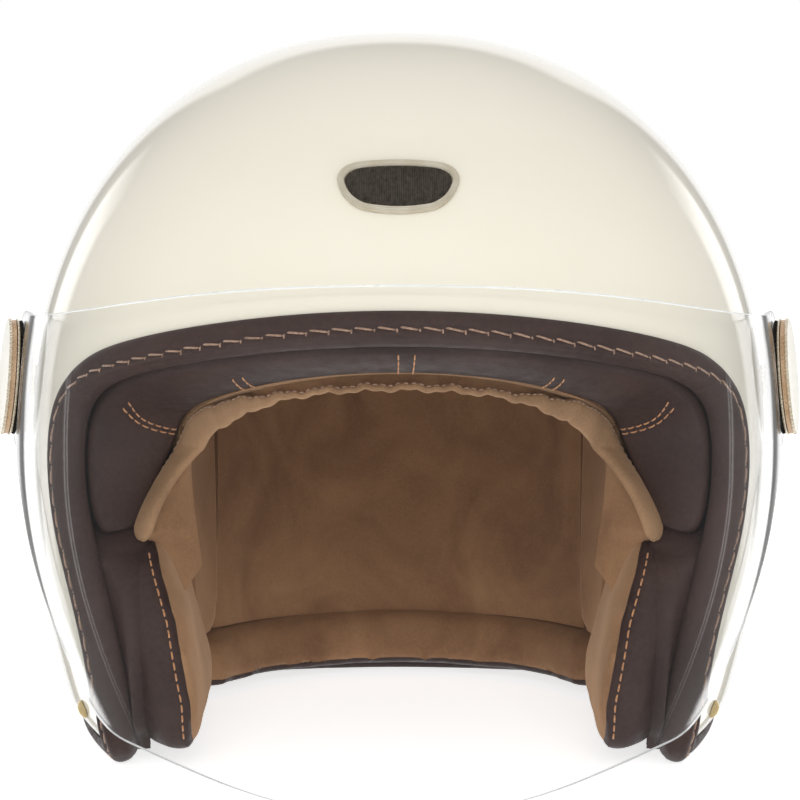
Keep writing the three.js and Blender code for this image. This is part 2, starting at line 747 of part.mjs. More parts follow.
// The long strap, stowed folded back on itself.
function tailStrap() {
  const wall = STRAP.wall;
  const x0 = STRAP.plane + GAP;
  const x1 = x0 + wall;
  const x2 = x1 + 0.9;
  const fold = BAR_Y + 6;
  return mainBody(
    webbing([
      [x0, STRAP_START],
      [x1, STRAP_START],
      [x1, fold - 2.6],
      [(x1 + x2) / 2, fold - 2],
      [x2, fold - 2.6],
      [x2, STRAP_START + 22],
      [x2 + wall, STRAP_START + 22],
      [x2 + wall, fold - 1.6],
      [x2 + wall - 1.4, fold],
      [x0 + 1.4, fold],
      [x0, fold - 1.6],
    ]),
  );
}

// A D-shaped wire ring whose straight bar runs along Z at BAR_Y.
function strapRing(plane) {
  const { half, depth, wire } = RING;
  const bend = 1.4;
  const shape = new THREE.Shape();
  shape.moveTo(0, -half + bend);
  shape.lineTo(0, half - bend);
  shape.quadraticCurveTo(0, half, bend, half);
  shape.bezierCurveTo(depth * 0.8, half, depth, half * 0.5, depth, 0);
  shape.bezierCurveTo(depth, -half * 0.5, depth * 0.8, -half, bend, -half);
  shape.quadraticCurveTo(0, -half, 0, -half + bend);
  const steps = 20;
  const points = shape.getSpacedPoints(steps).slice(0, steps);
  const corners = 6;
  return ringSolid(steps, corners, (step, corner) => {
    const here = points[step];
    const ahead = points[(step + 1) % steps];
    const behind = points[(step + steps - 1) % steps];
    const along = ahead.clone().sub(behind).normalize();
    const turn = (corner * Math.PI * 2) / corners;
    const side = wire * Math.cos(turn);
    const y = BAR_Y + here.x + along.y * side;
    const z = STRAP.z + here.y - along.x * side;
    return new THREE.Vector3(plane + wire * Math.sin(turn), y, z);
  });
}

// ---------------------------------------------------------------- putting it together
const badgeRing = badgePrism(0).subtract(badgePrism(BADGE.rim));
const pieces = [
  ["outer_shell", outerShell(), creamPaint()],
  ["edge_trim", edgeTrim(), darkLeather()],
  ["foam_liner", foamLiner(), whiteFoam()],
  ["brow_panel", browPanel(), darkLeather()],
  ["crown_liner", crownLiner(), tanSuede()],
  ["front_binding", toSolid(frontBinding()), tanSuede()],
  ["neck_roll", neckRoll(), tanSuede()],
  ["visor", visorSolid(), clearPlastic()],
  ["badge_bezel", badgeLayer(badgeRing, 2.4), champagne()],
  ["badge_plate", badgeLayer(badgePrism(BADGE.rim + GAP), 1.6), charcoal()],
];
pieces.forEach(([name, solid, material]) => add(name, toGeometry(solid), material));

const snapAt = ([y, z]) => {
  const { radius, depth } = SNAP;
  const x = PAD.outer - depth / 2 + 0.2;
  const stud = 3.4;
  const flange = x + 3;
  const end = x + depth;
  const profile = [[0, x], [radius, x], [radius, flange], [stud, flange + 0.4], [stud, end], [0, end]];
  return alongX(profile, y, z);
};

const paired = [
  ["side_liner", sideLiner(), tanSuede],
  ["cheek_pad", mainBody(cheekPadSolid(0).subtract(snapPockets)), darkLeather],
  ["knob_washer", pivotWasher(), champagne],
  ["knob_gasket", knobGasket(), blackRubber],
  ["knob_ring", knobRing(), champagne],
  ["knob_cap", knobCap(), champagne],
  ["pivot_spacer", pivotSpacer(), blackRubber],
  ["pivot_screw", pivotScrew(), steel],
  ["pivot_nut", pivotNut(), steel],
  ["strap_rivet", strapRivet(), brass],
  ["strap_anchor", strapAnchor(), steel],
  ["pad_snap_front", snapAt(SNAP.places[0]), blackRubber],
  ["pad_snap_rear", snapAt(SNAP.places[1]), blackRubber],
];
SIDES.forEach(({ label, sign }) => {
  paired.forEach(([name, solid, material]) => {
    add(`${name}_${label}`, toGeometry(onSide(solid, sign)), material());
  });
});

add("strap_left", toGeometry(ringStrap()), blackWebbing());
add("strap_right", toGeometry(onSide(tailStrap(), -1)), blackWebbing());
add("d_ring_inner", toGeometry(strapRing(RING.planes[0])), steel());
add("d_ring_outer", toGeometry(strapRing(RING.planes[1])), steel());

export default helmet;
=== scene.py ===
import math
import bmesh
import bpy
import numpy as np
from mathutils import Matrix, Vector
from mathutils.bvhtree import BVHTree


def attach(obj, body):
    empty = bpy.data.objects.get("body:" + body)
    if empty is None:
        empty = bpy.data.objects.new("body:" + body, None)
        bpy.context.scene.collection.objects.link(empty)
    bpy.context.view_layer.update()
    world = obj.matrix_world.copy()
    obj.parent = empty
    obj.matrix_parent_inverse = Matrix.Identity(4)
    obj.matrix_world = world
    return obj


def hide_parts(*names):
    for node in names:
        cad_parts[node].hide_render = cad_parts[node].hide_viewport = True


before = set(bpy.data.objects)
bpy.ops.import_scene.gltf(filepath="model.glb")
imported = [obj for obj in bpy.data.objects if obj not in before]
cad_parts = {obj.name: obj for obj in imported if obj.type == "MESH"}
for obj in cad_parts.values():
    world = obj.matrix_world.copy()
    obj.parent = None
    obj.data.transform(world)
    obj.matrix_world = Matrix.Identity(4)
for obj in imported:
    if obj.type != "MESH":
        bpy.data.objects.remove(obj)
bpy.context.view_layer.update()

MM = 0.001

# --- driving dimensions (mm)
WALL = 4.5
EQUATOR_Z = 100
CENTRE_Y = 10
PLAIN = dict(round=2.2, tuck_rear=0, flare=0, curl=0)
SHELL = dict(PLAIN, side=128, front=138, rear=140, top=142.5, tuck_side=17.6, tuck_rear=40, curl=10)
HEAD = dict(PLAIN, side=76, front=100, rear=100, top=102, tuck_side=5, tuck_rear=25)
VISOR = dict(PLAIN, side=132.5, front=143, rear=143, top=147, round=2.35, tuck_side=29, flare=18.2)
CURL_TOP = 18.0  # below this height the shell's sides also curl in
EDGE_CENTRE = np.array([0.0, CENTRE_Y, 87.0])
EDGE_LINE = [
    (0, -120.6, 153.2), (43, -115, 150.7), (66, -105.7, 147.1), (83, -94.5, 142.9),
    (96.5, -82, 137.6), (104.2, -73.2, 131.1), (110.5, -65.3, 120), (112.4, -63.3, 101),
    (110.5, -66, 81), (105.8, -71.6, 63), (100.3, -75.5, 41), (97.8, -74, 24),
    (97.6, -70, 9), (100.5, -59, 3.6), (108.5, -28, 6), (111.5, 20, 10),
    (102.4, 62, 10), (61, 102, 7.8), (0, 115.8, 7),
]
PIVOT = np.array([129.2, -5.0, 123.0])
TILT, LEAN = math.radians(12), math.radians(5)
EAR = 23.0
KNOB_RADIUS = 20.3
VISOR_WALL = 2.2
PAD_TOP = 76
NECK_SEAM_Z = 24.6
SIDE_SEAM_X = 66.0
STRAP = dict(y=-56.0, z=17.0, plane=88.2, width=20.0, wall=1.8, length=82.0)
BAR_Y = STRAP["y"] + STRAP["length"]
STRAP_ROOM = (-60.0, 31.0)  # along Y: the straps swing down past the edge roll here
BINDING_FLARE = 19.0
BINDING_FLARE_TOP = 114.0
BADGE = dict(width=38.0, height=20.0, z=188.5, rim=2.4)
SOFTEN = 0.2  # rounds off the flat spot where a section crosses its axes


# --- rounded forms
def grow(form, by):
    return {**form, **{k: form[k] + by for k in ("side", "front", "rear", "top")}}


def curve_power(u, n):
    """The power n of u, from 0 at 0 to 1 at 1, softened near 0."""
    low = SOFTEN**n
    return ((u * u + SOFTEN**2) ** (n / 2) - low) / ((1 + SOFTEN**2) ** (n / 2) - low)


def section(form, z):
    """Half width, front reach and rear reach at the heights z."""
    n = form["round"]
    rise = np.clip((z - EQUATOR_Z) / form["top"], 0, 1)
    scale = np.clip(1 - curve_power(rise, n), 0, 1) ** (1 / n)
    drop = np.clip((EQUATOR_Z - z) / EQUATOR_Z, 0, None)
    curl = form["curl"] * np.clip(1 - z / CURL_TOP, 0, None) ** 2
    side = form["side"] * scale - form["tuck_side"] * drop**2 - curl
    front = form["front"] * scale + form["flare"] * drop**1.5
    rear = form["rear"] * scale - form["tuck_rear"] * drop**2
    return side, front, rear


def form_value(form, points):
    """Below 1 inside the form, 1 on it."""
    x, y, z = np.moveaxis(points, -1, 0)
    side, front, rear = section(form, z)
    depth = np.maximum(np.where(y < CENTRE_Y, front, rear), 1e-3)
    side = np.maximum(side, 1e-3)
    value = curve_power(x / side, form["round"]) + curve_power((y - CENTRE_Y) / depth, form["round"])
    return np.where(z >= EQUATOR_Z + form["top"] * 0.9999, 9.0, value)


def bisect(inside, low, high, steps=34):
    """Halves the spans from low, where inside holds, to high, where it doesn't."""
    for _ in range(steps):
        middle = (low + high) / 2
        holds = inside(middle)
        low, high = np.where(holds, middle, low), np.where(holds, high, middle)
    return low, high


def cast(form, origins, directions, reach=400.0):
    """Where rays from inside the form leave it."""
    origins = np.broadcast_to(np.asarray(origins, float), directions.shape)
    start, stop = np.zeros(directions.shape[:-1]), np.full(directions.shape[:-1], reach)
    near, _ = bisect(lambda t: form_value(form, origins + directions * t[..., None]) < 1, start, stop)
    return origins + directions * near[..., None]


def unit(v):
    return v / np.maximum(np.linalg.norm(v, axis=-1, keepdims=True), 1e-12)


def ease(t):
    return t * t * (3 - 2 * t)


def onto(form, points):
    """Moves points to the form, along lines from the edge's centre."""
    return cast(form, EDGE_CENTRE, unit(np.asarray(points, float) - EDGE_CENTRE))


def form_normal(form, points):
    steps = np.eye(3) * 0.4
    return unit(np.stack([form_value(form, points + s) - form_value(form, points - s) for s in steps], -1))


def side_x(form, y, z):
    """The form's half width at (y, z)."""
    side, front, rear = section(form, np.asarray(z, float))
    depth = np.where(y < CENTRE_Y, front, rear)
    n = form["round"]
    along = curve_power((y - CENTRE_Y) / depth, n)
    low, high = np.zeros_like(depth + y), side * np.ones_like(depth + y)
    return bisect(lambda x: curve_power(x / side, n) + along < 1, low, high)[0]


# --- lines
def smooth_line(keys, closed, samples=24):
    """A centripetal Catmull-Rom line through the keys, with even steps between its points."""
    keys = np.asarray(keys, float)
    if closed:
        padded = np.vstack([keys[-1], keys, keys[0], keys[1]])
    else:
        padded = np.vstack([2 * keys[0] - keys[1], keys, 2 * keys[-1] - keys[-2]])
    line = []
    for p0, p1, p2, p3 in zip(padded, padded[1:], padded[2:], padded[3:]):
        d0, d1, d2 = (max(np.linalg.norm(b - a) ** 0.5, 1e-4) for a, b in ((p0, p1), (p1, p2), (p2, p3)))
        m1 = ((p1 - p0) / d0 - (p2 - p0) / (d0 + d1) + (p2 - p1) / d1) * d1
        m2 = ((p2 - p1) / d1 - (p3 - p1) / (d1 + d2) + (p3 - p2) / d2) * d1
        for t in np.linspace(0, 1, samples, endpoint=False):
            a, b = ease(t), t * (1 - t) ** 2
            line.append(p1 * (1 - a) + p2 * a + m1 * b - m2 * t * t * (1 - t))
    if not closed:
        line.append(keys[-1])
    return np.array(line)


def bezier(points, count):
    """A Bezier curve of any degree."""
    points = np.asarray(points, float)
    t = np.linspace(0, 1, count)[:, None]
    n = len(points) - 1
    return sum(math.comb(n, k) * p * (1 - t) ** (n - k) * t**k for k, p in enumerate(points))


def run(line):
    """The distance along a line at each of its points."""
    return np.concatenate([[0], np.cumsum(np.linalg.norm(np.diff(line, axis=0), axis=1))])


def even_steps(line, count, closed):
    points = np.vstack([line, line[:1]]) if closed else line
    length = run(points)
    at = np.linspace(0, length[-1], count, endpoint=not closed)
    return np.stack([np.interp(at, length, points[:, k]) for k in range(points.shape[1])], 1)


def relax(line, times):
    """Smooths an open line in place, between its ends."""
    for _ in range(times):
        line[1:-1] = (line[:-2] + 2 * line[1:-1] + line[2:]) / 4


def ring_blur(values, reach):
    """Smooths values round a closed ring."""
    taps = np.arange(-3 * reach, 3 * reach + 1)
    weights = np.exp(-((taps / reach) ** 2) / 2)
    weights /= weights.sum()
    return sum(w * np.roll(values, t, axis=0) for t, w in zip(taps, weights))


# --- the shell's edge
EDGE_STEPS = 720


def edge_frames():
    """The edge's points on the shell, with their outward and off-shell directions."""
    half = np.array(EDGE_LINE, float)
    other = half[1:-1][::-1] * (-1, 1, 1)
    line = even_steps(smooth_line(np.vstack([half, other]), True), EDGE_STEPS, True)
    points = onto(SHELL, ring_blur(line, 5))
    points = onto(SHELL, even_steps(points, EDGE_STEPS, True))
    out = form_normal(SHELL, points)
    off = unit(np.cross(unit(np.roll(points, -1, 0) - np.roll(points, 1, 0)), out))
    return points, out, (-off if off[0, 2] > 0 else off)


# Along the edge: the place, the way out of the shell, and the way off the shell, into the opening.
EDGE, OUT, OFF = edge_frames()


def beside(off, out, index=slice(None)):
    """Points by the edge: off the shell and out of it, in mm."""
    return EDGE[index] + OFF[index] * off + OUT[index] * out


# --- meshes
def grid_faces(rows, columns, close_rows=False, close_columns=False, start=0):
    """Four-sided faces over a grid of vertices; either way round may close."""
    faces = []
    for i in range(rows if close_rows else rows - 1):
        for j in range(columns if close_columns else columns - 1):
            a, b = i * columns + j, i * columns + (j + 1) % columns
            c, d = (i + 1) % rows * columns + (j + 1) % columns, (i + 1) % rows * columns + j
            faces.append((start + a, start + b, start + c, start + d))
    return faces


def border(rows, columns):
    """The vertices round the outside of a grid, in order."""
    ring = list(range(columns)) + [r * columns + columns - 1 for r in range(1, rows)]
    ring += [(rows - 1) * columns + c for c in range(columns - 2, -1, -1)]
    return ring + [r * columns for r in range(rows - 2, 0, -1)]


def sheet(front, back):
    """A closed sheet between two grids of points."""
    rows, columns = front.shape[:2]
    count = rows * columns
    ring = border(rows, columns)
    faces = grid_faces(rows, columns) + grid_faces(rows, columns, start=count)
    faces += [(a, b, b + count, a + count) for a, b in zip(ring, ring[1:] + ring[:1])]
    return np.vstack([front.reshape(-1, 3), back.reshape(-1, 3)]), faces


def in_scene(obj):
    """Links an object to the scene."""
    if obj.name not in bpy.context.scene.collection.objects:
        bpy.context.scene.collection.objects.link(obj)
    return obj


def smooth_faces(mesh):
    for polygon in mesh.polygons:
        polygon.use_smooth = True


def piece(name, vertices, faces, material, body, slot, replaced=(), sharp=None, weld=None):
    """A mesh piece in millimetres that rides on a body. Weld joins points nearer than it, in metres."""
    mesh = bpy.data.meshes.new(name)
    mesh.from_pydata((np.asarray(vertices, float) * MM).tolist(), [], [tuple(f) for f in faces])
    made = bmesh.new()
    made.from_mesh(mesh)
    if weld:
        bmesh.ops.remove_doubles(made, verts=made.verts, dist=weld)
    bmesh.ops.recalc_face_normals(made, faces=made.faces)
    made.to_mesh(mesh)
    made.free()
    smooth_faces(mesh)
    mesh.update()
    return adopt(bpy.data.objects.new(name, mesh), material, body, replaced, sharp)


def adopt(obj, material, body, replaced=(), sharp=None):
    """Makes an object a piece: its materials, body, the CAD nodes it replaces and its sharp angle."""
    in_scene(obj)
    for m in material if isinstance(material, (list, tuple)) else [material]:
        obj.data.materials.append(m)
    if sharp:
        obj.data.set_sharp_from_angle(angle=math.radians(sharp))
    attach(obj, body)
    if replaced:
        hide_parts(*replaced)
    return obj


def join_parts(parts):
    """Puts several (vertices, faces) into one."""
    vertices, faces, start = [], [], 0
    for part_vertices, part_faces in parts:
        vertices.append(np.asarray(part_vertices, float))
        faces += [tuple(k + start for k in f) for f in part_faces]
        start += len(part_vertices)
    return np.vstack(vertices), faces


def swept(rows, closed):
    """A tube from rows of (steps, corners, 3): its section at each step is a closed loop."""
    steps, corners = rows.shape[:2]
    faces = grid_faces(steps, corners, closed, True)
    if not closed:
        faces.append(tuple(range(corners)))
        faces.append(tuple(range((steps - 1) * corners, steps * corners))[::-1])
    return rows.reshape(-1, 3), faces


def rounded_ends(rows, middle, least):
    """Draws the ends of a tube in towards its middle line, over nine steps, to a least share of its size."""
    steps = np.arange(len(rows))
    share = np.clip(np.minimum(steps, steps[::-1]) / 9.0, 0, 1)
    shrink = least + (1 - least) * np.sqrt(1 - (1 - share) ** 2)
    return middle + (rows - middle) * shrink[:, None, None]


def circle(steps):
    """Cosines and sines of even steps round a circle."""
    turn = np.linspace(0, 2 * np.pi, steps, endpoint=False)
    return np.cos(turn), np.sin(turn)


def squared(values, power):
    """Squares a circle's cosines or sines off, towards a box."""
    return np.sign(values) * np.abs(values) ** power


def tube(line, radius, corners, closed=False):
    """A round tube along a line."""
    line = np.asarray(line, float)
    ahead = np.roll(line, -1, 0) if closed else np.vstack([line[1:], 2 * line[-1] - line[-2]])
    behind = np.roll(line, 1, 0) if closed else np.vstack([2 * line[0] - line[1], line[:-1]])
    along = unit(ahead - behind)
    side = np.zeros_like(along)
    current = np.cross(along[0], (0.31, 0.27, 0.91))
    for i, direction in enumerate(along):
        current = current - direction * np.dot(current, direction)
        current = current / np.linalg.norm(current)
        side[i] = current
    up = np.cross(along, side)
    c, s = circle(corners)
    radius = np.broadcast_to(np.asarray(radius, float), (len(line),))[:, None, None]
    return swept(line[:, None] + radius * (side[:, None] * c[:, None] + up[:, None] * s[:, None]), closed)


def lathe(profile, steps=96):
    """Turned about X: profile points are (radius, x)."""
    c, s = circle(steps)
    rows = np.stack([np.stack([np.full(steps, x), r * c, r * s], 1) for r, x in np.asarray(profile, float)])
    return rows.reshape(-1, 3), grid_faces(len(profile), steps, False, True)


def rounded(profile, radius, steps=3):
    """Rounds the corners of an open profile with small arcs."""
    profile = [np.array(p, float) for p in profile]
    made = [profile[0]]
    for before, corner, after in zip(profile, profile[1:], profile[2:]):
        into, away = before - corner, after - corner
        cut = min(radius, np.linalg.norm(into) * 0.45, np.linalg.norm(away) * 0.45)
        a, b = corner + unit(into) * cut, corner + unit(away) * cut
        for t in np.linspace(0, 1, steps + 1):
            made.append(a * (1 - t) ** 2 + corner * 2 * t * (1 - t) + b * t * t)
    made.append(profile[-1])
    return made


def mirrored(vertices, sign):
    return np.asarray(vertices) * (sign, 1, 1)


SIDES = [("left", 1), ("right", -1)]


# --- materials
class Nodes:
    """Short ways to build a node tree."""

    def __init__(self, owner):
        owner.use_nodes = True
        self.tree = owner.node_tree

    def node(self, kind, **values):
        made = self.tree.nodes.new("ShaderNode" + kind)
        for key, value in values.items():
            setattr(made, key, value)
        return made

    def link(self, a, b):
        self.tree.links.new(a, b)

    def math(self, operation, *sources):
        """A math node over numbers and sockets."""
        made = self.node("Math", operation=operation)
        for socket, source in zip(made.inputs, sources):
            if isinstance(source, (int, float)):
                socket.default_value = source
            else:
                self.link(source, socket)
        return made.outputs[0]

    def ramp(self, source, stops):
        made = self.node("ValToRGB")
        elements = made.color_ramp.elements
        while len(elements) < len(stops):
            elements.new(0.5)
        for element, (position, colour) in zip(elements, stops):
            element.position = position
            element.color = (*colour, 1)
        self.link(source, made.inputs["Fac"])
        return made.outputs["Color"]


class Paint(Nodes):
    """A Principled material and short ways to add procedural detail to it."""

    def __init__(self, name, colour, roughness, **values):
        self.material = bpy.data.materials.new(name)
        super().__init__(self.material)
        self.shader = self.tree.nodes["Principled BSDF"]
        self.shader.inputs["Base Color"].default_value = (*colour, 1)
        self.shader.inputs["Roughness"].default_value = roughness
        for key, value in values.items():
            socket = self.shader.inputs[key.replace("_", " ").title().replace("Ior", "IOR")]
            socket.default_value = value
        self.place = self.node("TexCoord").outputs["Object"]
        self.height = None

    def texture(self, kind, size, stretch=(1, 1, 1), values=(), **settings):
        """A texture whose features are about size metres across."""
        mapping = self.node("Mapping")
        mapping.inputs["Scale"].default_value = [s / size for s in stretch]
        self.link(self.place, mapping.inputs["Vector"])
        made = self.node("Tex" + kind, **settings)
        for key, value in (("Scale", 1.0), *values):
            made.inputs[key].default_value = value
        self.link(mapping.outputs["Vector"], made.inputs["Vector"])
        return made.outputs

    def noise(self, size, detail=2.0, rough=0.5, stretch=(1, 1, 1), distortion=0.0):
        values = ("Detail", detail), ("Roughness", rough), ("Distortion", distortion)
        return self.texture("Noise", size, stretch, values)["Fac"]

    def cells(self, size, feature="F1"):
        return self.texture("Voronoi", size, feature=feature)["Distance"]

    def waves(self, size, direction, distortion=0.0):
        wave = self.node("TexWave", bands_direction=direction)
        wave.inputs["Scale"].default_value = 2 * math.pi / size / 20
        wave.inputs["Distortion"].default_value = distortion
        self.link(self.place, wave.inputs["Vector"])
        return wave.outputs["Fac"]

    def colour(self, source, stops):
        self.link(self.ramp(source, stops), self.shader.inputs["Base Color"])

    def mixed_colour(self, first, second, share):
        """Sets the colour to a mix of two by a share."""
        mix = self.node("Mix", data_type="RGBA")
        for key, source in (("Factor", share), ("A", first), ("B", second)):
            self.link(source, mix.inputs[key])
        self.link(mix.outputs["Result"], self.shader.inputs["Base Color"])

    def span(self, source, low, high):
        """Stretches the middle of a texture's range to low and high."""
        spread = self.node("MapRange")
        for key, value in (("From Min", 0.3), ("From Max", 0.7), ("To Min", low), ("To Max", high)):
            spread.inputs[key].default_value = value
        self.link(source, spread.inputs["Value"])
        return spread.outputs["Result"]

    def roughness(self, source, low, high):
        self.link(self.span(source, low, high), self.shader.inputs["Roughness"])

    def bump(self, source, depth, strength=1.0):
        """Adds a height of depth metres; later bumps stack on earlier ones."""
        bump = self.node("Bump")
        bump.inputs["Distance"].default_value = depth
        bump.inputs["Strength"].default_value = strength
        self.link(source, bump.inputs["Height"])
        if self.height:
            self.link(self.height, bump.inputs["Normal"])
        self.height = bump.outputs["Normal"]
        self.link(self.height, self.shader.inputs["Normal"])

    def see_through(self, share, tint=(1, 1, 1)):
        """Puts clear air in place of a share of the shader."""
        clear, mix = self.node("BsdfTransparent"), self.node("MixShader")
        clear.inputs["Color"].default_value = (*tint, 1)
        for source, socket in zip((share, self.shader.outputs[0], clear.outputs[0]), mix.inputs):
            self.link(source, socket)
        self.link(mix.outputs[0], self.tree.nodes["Material Output"].inputs["Surface"])


def cream_paint():
    paint = Paint("shell_paint", (0.80, 0.75, 0.63), 0.28, coat_weight=1.0, coat_roughness=0.02, coat_ior=1.5)
    paint.colour(paint.noise(0.05, 3), [(0.3, (0.80, 0.752, 0.635)), (0.7, (0.812, 0.765, 0.65))])
    paint.roughness(paint.noise(0.012, 4), 0.36, 0.42)
    paint.bump(paint.noise(0.0012, 1), 0.000003, 0.4)
    return paint.material


def leather():
    dark, light = (0.036, 0.020, 0.0175), (0.070, 0.040, 0.034)
    paint = Paint("leather", dark, 0.5, specular_ior_level=0.5)
    broad, fine = paint.noise(0.03, 4), paint.noise(0.0016, 3)
    first = paint.ramp(broad, [(0.3, dark), (0.7, light)])
    second = paint.ramp(fine, [(0.3, dark), (0.75, light)])
    paint.mixed_colour(first, second, paint.span(paint.noise(0.009, 2), 0.25, 0.6))
    paint.roughness(paint.noise(0.004, 4), 0.40, 0.58)
    paint.bump(paint.cells(0.00125, "SMOOTH_F1"), 0.00012, 0.55)
    paint.bump(paint.noise(0.0005, 3), 0.00004, 0.5)
    paint.bump(paint.noise(0.022, 3), 0.0009, 0.35)
    return paint.material


def suede(name, dark, light):
    paint = Paint(name, light, 0.95, sheen_weight=0.55, sheen_roughness=0.45, specular_ior_level=0.2)
    paint.shader.inputs["Sheen Tint"].default_value = (0.75, 0.5, 0.32, 1)
    middle = [(a + b) / 2 for a, b in zip(dark, light)]
    broad = paint.noise(0.045, 3, 0.55, distortion=0.8)
    nap = paint.ramp(broad, [(0.36, dark), (0.5, middle), (0.66, light)])
    pressed, raised = ([c * tone for c in middle] for tone in (0.72, 1.3))
    fuzz = paint.ramp(paint.noise(0.0011, 4, 0.7), [(0.3, pressed), (0.7, raised)])
    paint.mixed_colour(nap, fuzz, paint.span(paint.noise(0.006, 2), 0.2, 0.5))
    paint.roughness(paint.noise(0.01, 2), 0.88, 1.0)
    paint.bump(paint.noise(0.0007, 4, 0.7), 0.00022, 0.7)
    paint.bump(paint.noise(0.016, 3), 0.0012, 0.3)
    return paint.material


def thread(name, dark, light):
    paint = Paint(name, light, 0.6, sheen_weight=0.3, specular_ior_level=0.4)
    paint.colour(paint.noise(0.0006, 3, 0.6), [(0.3, dark), (0.65, light)])
    paint.bump(paint.noise(0.0003, 2, stretch=(1, 1, 3)), 0.00012, 0.8)
    paint.roughness(paint.noise(0.001, 2), 0.5, 0.75)
    return paint.material


def metal(name, dark, light, roughness, brushed=(1, 1, 1), size=0.0008, metallic=0.9):
    paint = Paint(name, light, roughness, metallic=metallic)
    paint.colour(paint.noise(0.006, 4), [(0.3, dark), (0.7, light)])
    paint.roughness(paint.noise(size, 3, stretch=brushed), roughness * 0.75, roughness * 1.35)
    paint.bump(paint.noise(size, 3, stretch=brushed), 0.000012, 0.5)
    return paint.material


def rubber(name, colour):
    paint = Paint(name, colour, 0.55)
    paint.colour(paint.noise(0.0009, 4), [(0.3, [c * 0.6 for c in colour]), (0.7, [c * 1.9 for c in colour])])
    paint.roughness(paint.noise(0.002, 3), 0.42, 0.7)
    paint.bump(paint.noise(0.0005, 3), 0.00005, 0.6)
    return paint.material


def bead_foam():
    paint = Paint("foam", (0.055, 0.052, 0.05), 0.85)
    paint.colour(paint.cells(0.004), [(0.1, (0.07, 0.066, 0.062)), (0.7, (0.03, 0.028, 0.027))])
    paint.roughness(paint.noise(0.004, 2), 0.75, 0.95)
    paint.bump(paint.cells(0.004, "SMOOTH_F1"), 0.0005, 0.6)
    return paint.material


def woven():
    paint = Paint("webbing", (0.016, 0.013, 0.012), 0.8, sheen_weight=0.25)
    both = paint.math("MULTIPLY", paint.waves(0.0016, "Z"), paint.waves(0.0022, "Y", 0.4))
    paint.colour(both, [(0.05, (0.006, 0.005, 0.005)), (0.6, (0.034, 0.029, 0.026))])
    paint.roughness(paint.noise(0.002, 3), 0.7, 0.95)
    paint.bump(both, 0.0003, 0.8)
    return paint.material


def badge_enamel():
    paint = Paint("badge_face", (0.03, 0.027, 0.024), 0.4, coat_weight=0.4, coat_roughness=0.12)
    paint.colour(paint.noise(0.0012, 4), [(0.3, (0.032, 0.027, 0.021)), (0.7, (0.085, 0.072, 0.056))])
    paint.roughness(paint.noise(0.001, 3), 0.32, 0.5)
    paint.bump(paint.noise(0.0004, 3), 0.00002, 0.5)
    return paint.material


def clear_plastic():
    """Polished polycarbonate that lets lamps through to what is behind it."""
    paint = Paint("visor_clear", (1.0, 1.0, 1.0), 0.0, transmission_weight=1.0, ior=1.42)
    paint.roughness(paint.noise(0.03, 4), 0.0, 0.012)
    paint.bump(paint.noise(0.03, 1), 0.00002, 0.4)
    path = paint.node("LightPath").outputs
    lamps = paint.math("MAXIMUM", path["Is Shadow Ray"], path["Is Diffuse Ray"])
    paint.see_through(lamps, (0.985, 0.99, 0.988))
    return paint.material


def edge_painted_highlight():
    """The edge of the clear sheet, painted near-white: a painted highlight for the light that the clear edge
    gathers.
    """
    paint = Paint("visor_edge", (0.86, 0.88, 0.87), 0.35, transmission_weight=0.1, ior=1.42)
    paint.colour(paint.noise(0.02, 3), [(0.3, (0.80, 0.82, 0.81)), (0.7, (0.92, 0.93, 0.93))])
    paint.roughness(paint.noise(0.004, 3), 0.25, 0.45)
    paint.bump(paint.noise(0.0008, 2), 0.00002, 0.5)
    return paint.material


CREAM = cream_paint()
LEATHER = leather()
SUEDE = suede("suede", (0.17, 0.086, 0.045), (0.33, 0.185, 0.095))
BINDING_SUEDE = suede("suede_binding", (0.20, 0.115, 0.062), (0.34, 0.205, 0.115))
TAN_THREAD = thread("thread_tan", (0.17, 0.095, 0.06), (0.44, 0.28, 0.195))
ORANGE_THREAD = thread("thread_orange", (0.32, 0.13, 0.05), (0.60, 0.29, 0.12))
CHAMPAGNE = metal("knob_metal", (0.84, 0.72, 0.54), (0.94, 0.84, 0.68), 0.25, metallic=0.55)
# The cap's side: copper-brown that stands in for the reflection of warm surroundings, a painted reflection.
CAP_SIDE_PAINTED_REFLECTION = metal("knob_side", (0.56, 0.36, 0.21), (0.74, 0.52, 0.34), 0.3, metallic=0.4)
IVORY = metal("knob_face", (0.93, 0.90, 0.81), (0.97, 0.945, 0.87), 0.4, metallic=0.12)
RUBBER = rubber("knob_rubber", (0.010, 0.009, 0.008))
NYLON = rubber("nylon", (0.014, 0.014, 0.014))
STEEL = metal("steel", (0.42, 0.42, 0.41), (0.62, 0.62, 0.61), 0.28)
BADGE_METAL = metal("badge_metal", (0.70, 0.62, 0.47), (0.86, 0.79, 0.65), 0.2, metallic=0.5)
BRASS = metal("rivet_brass", (0.80, 0.60, 0.28), (0.93, 0.76, 0.44), 0.2, size=0.004, metallic=0.55)
ENAMEL = badge_enamel()
FOAM = bead_foam()
WEBBING = woven()
CLEAR = clear_plastic()
CLEAR_EDGE = edge_painted_highlight()


# --- painted shell
def dome_rows(form, loop, pole, rings):
    """Points on the form in rings from a boundary loop up to a pole."""
    first = unit(loop - EDGE_CENTRE)
    pole = unit(np.asarray(pole, float))
    angle = np.arccos(np.clip(first @ pole, -1, 1))[:, None]
    rows = []
    for t in np.linspace(0, 1, rings, endpoint=False):
        direction = (np.sin((1 - t) * angle) * first + np.sin(t * angle) * pole) / np.sin(angle)
        rows.append(cast(form, EDGE_CENTRE, unit(direction)))
    return np.array(rows), cast(form, EDGE_CENTRE, pole[None])[0]


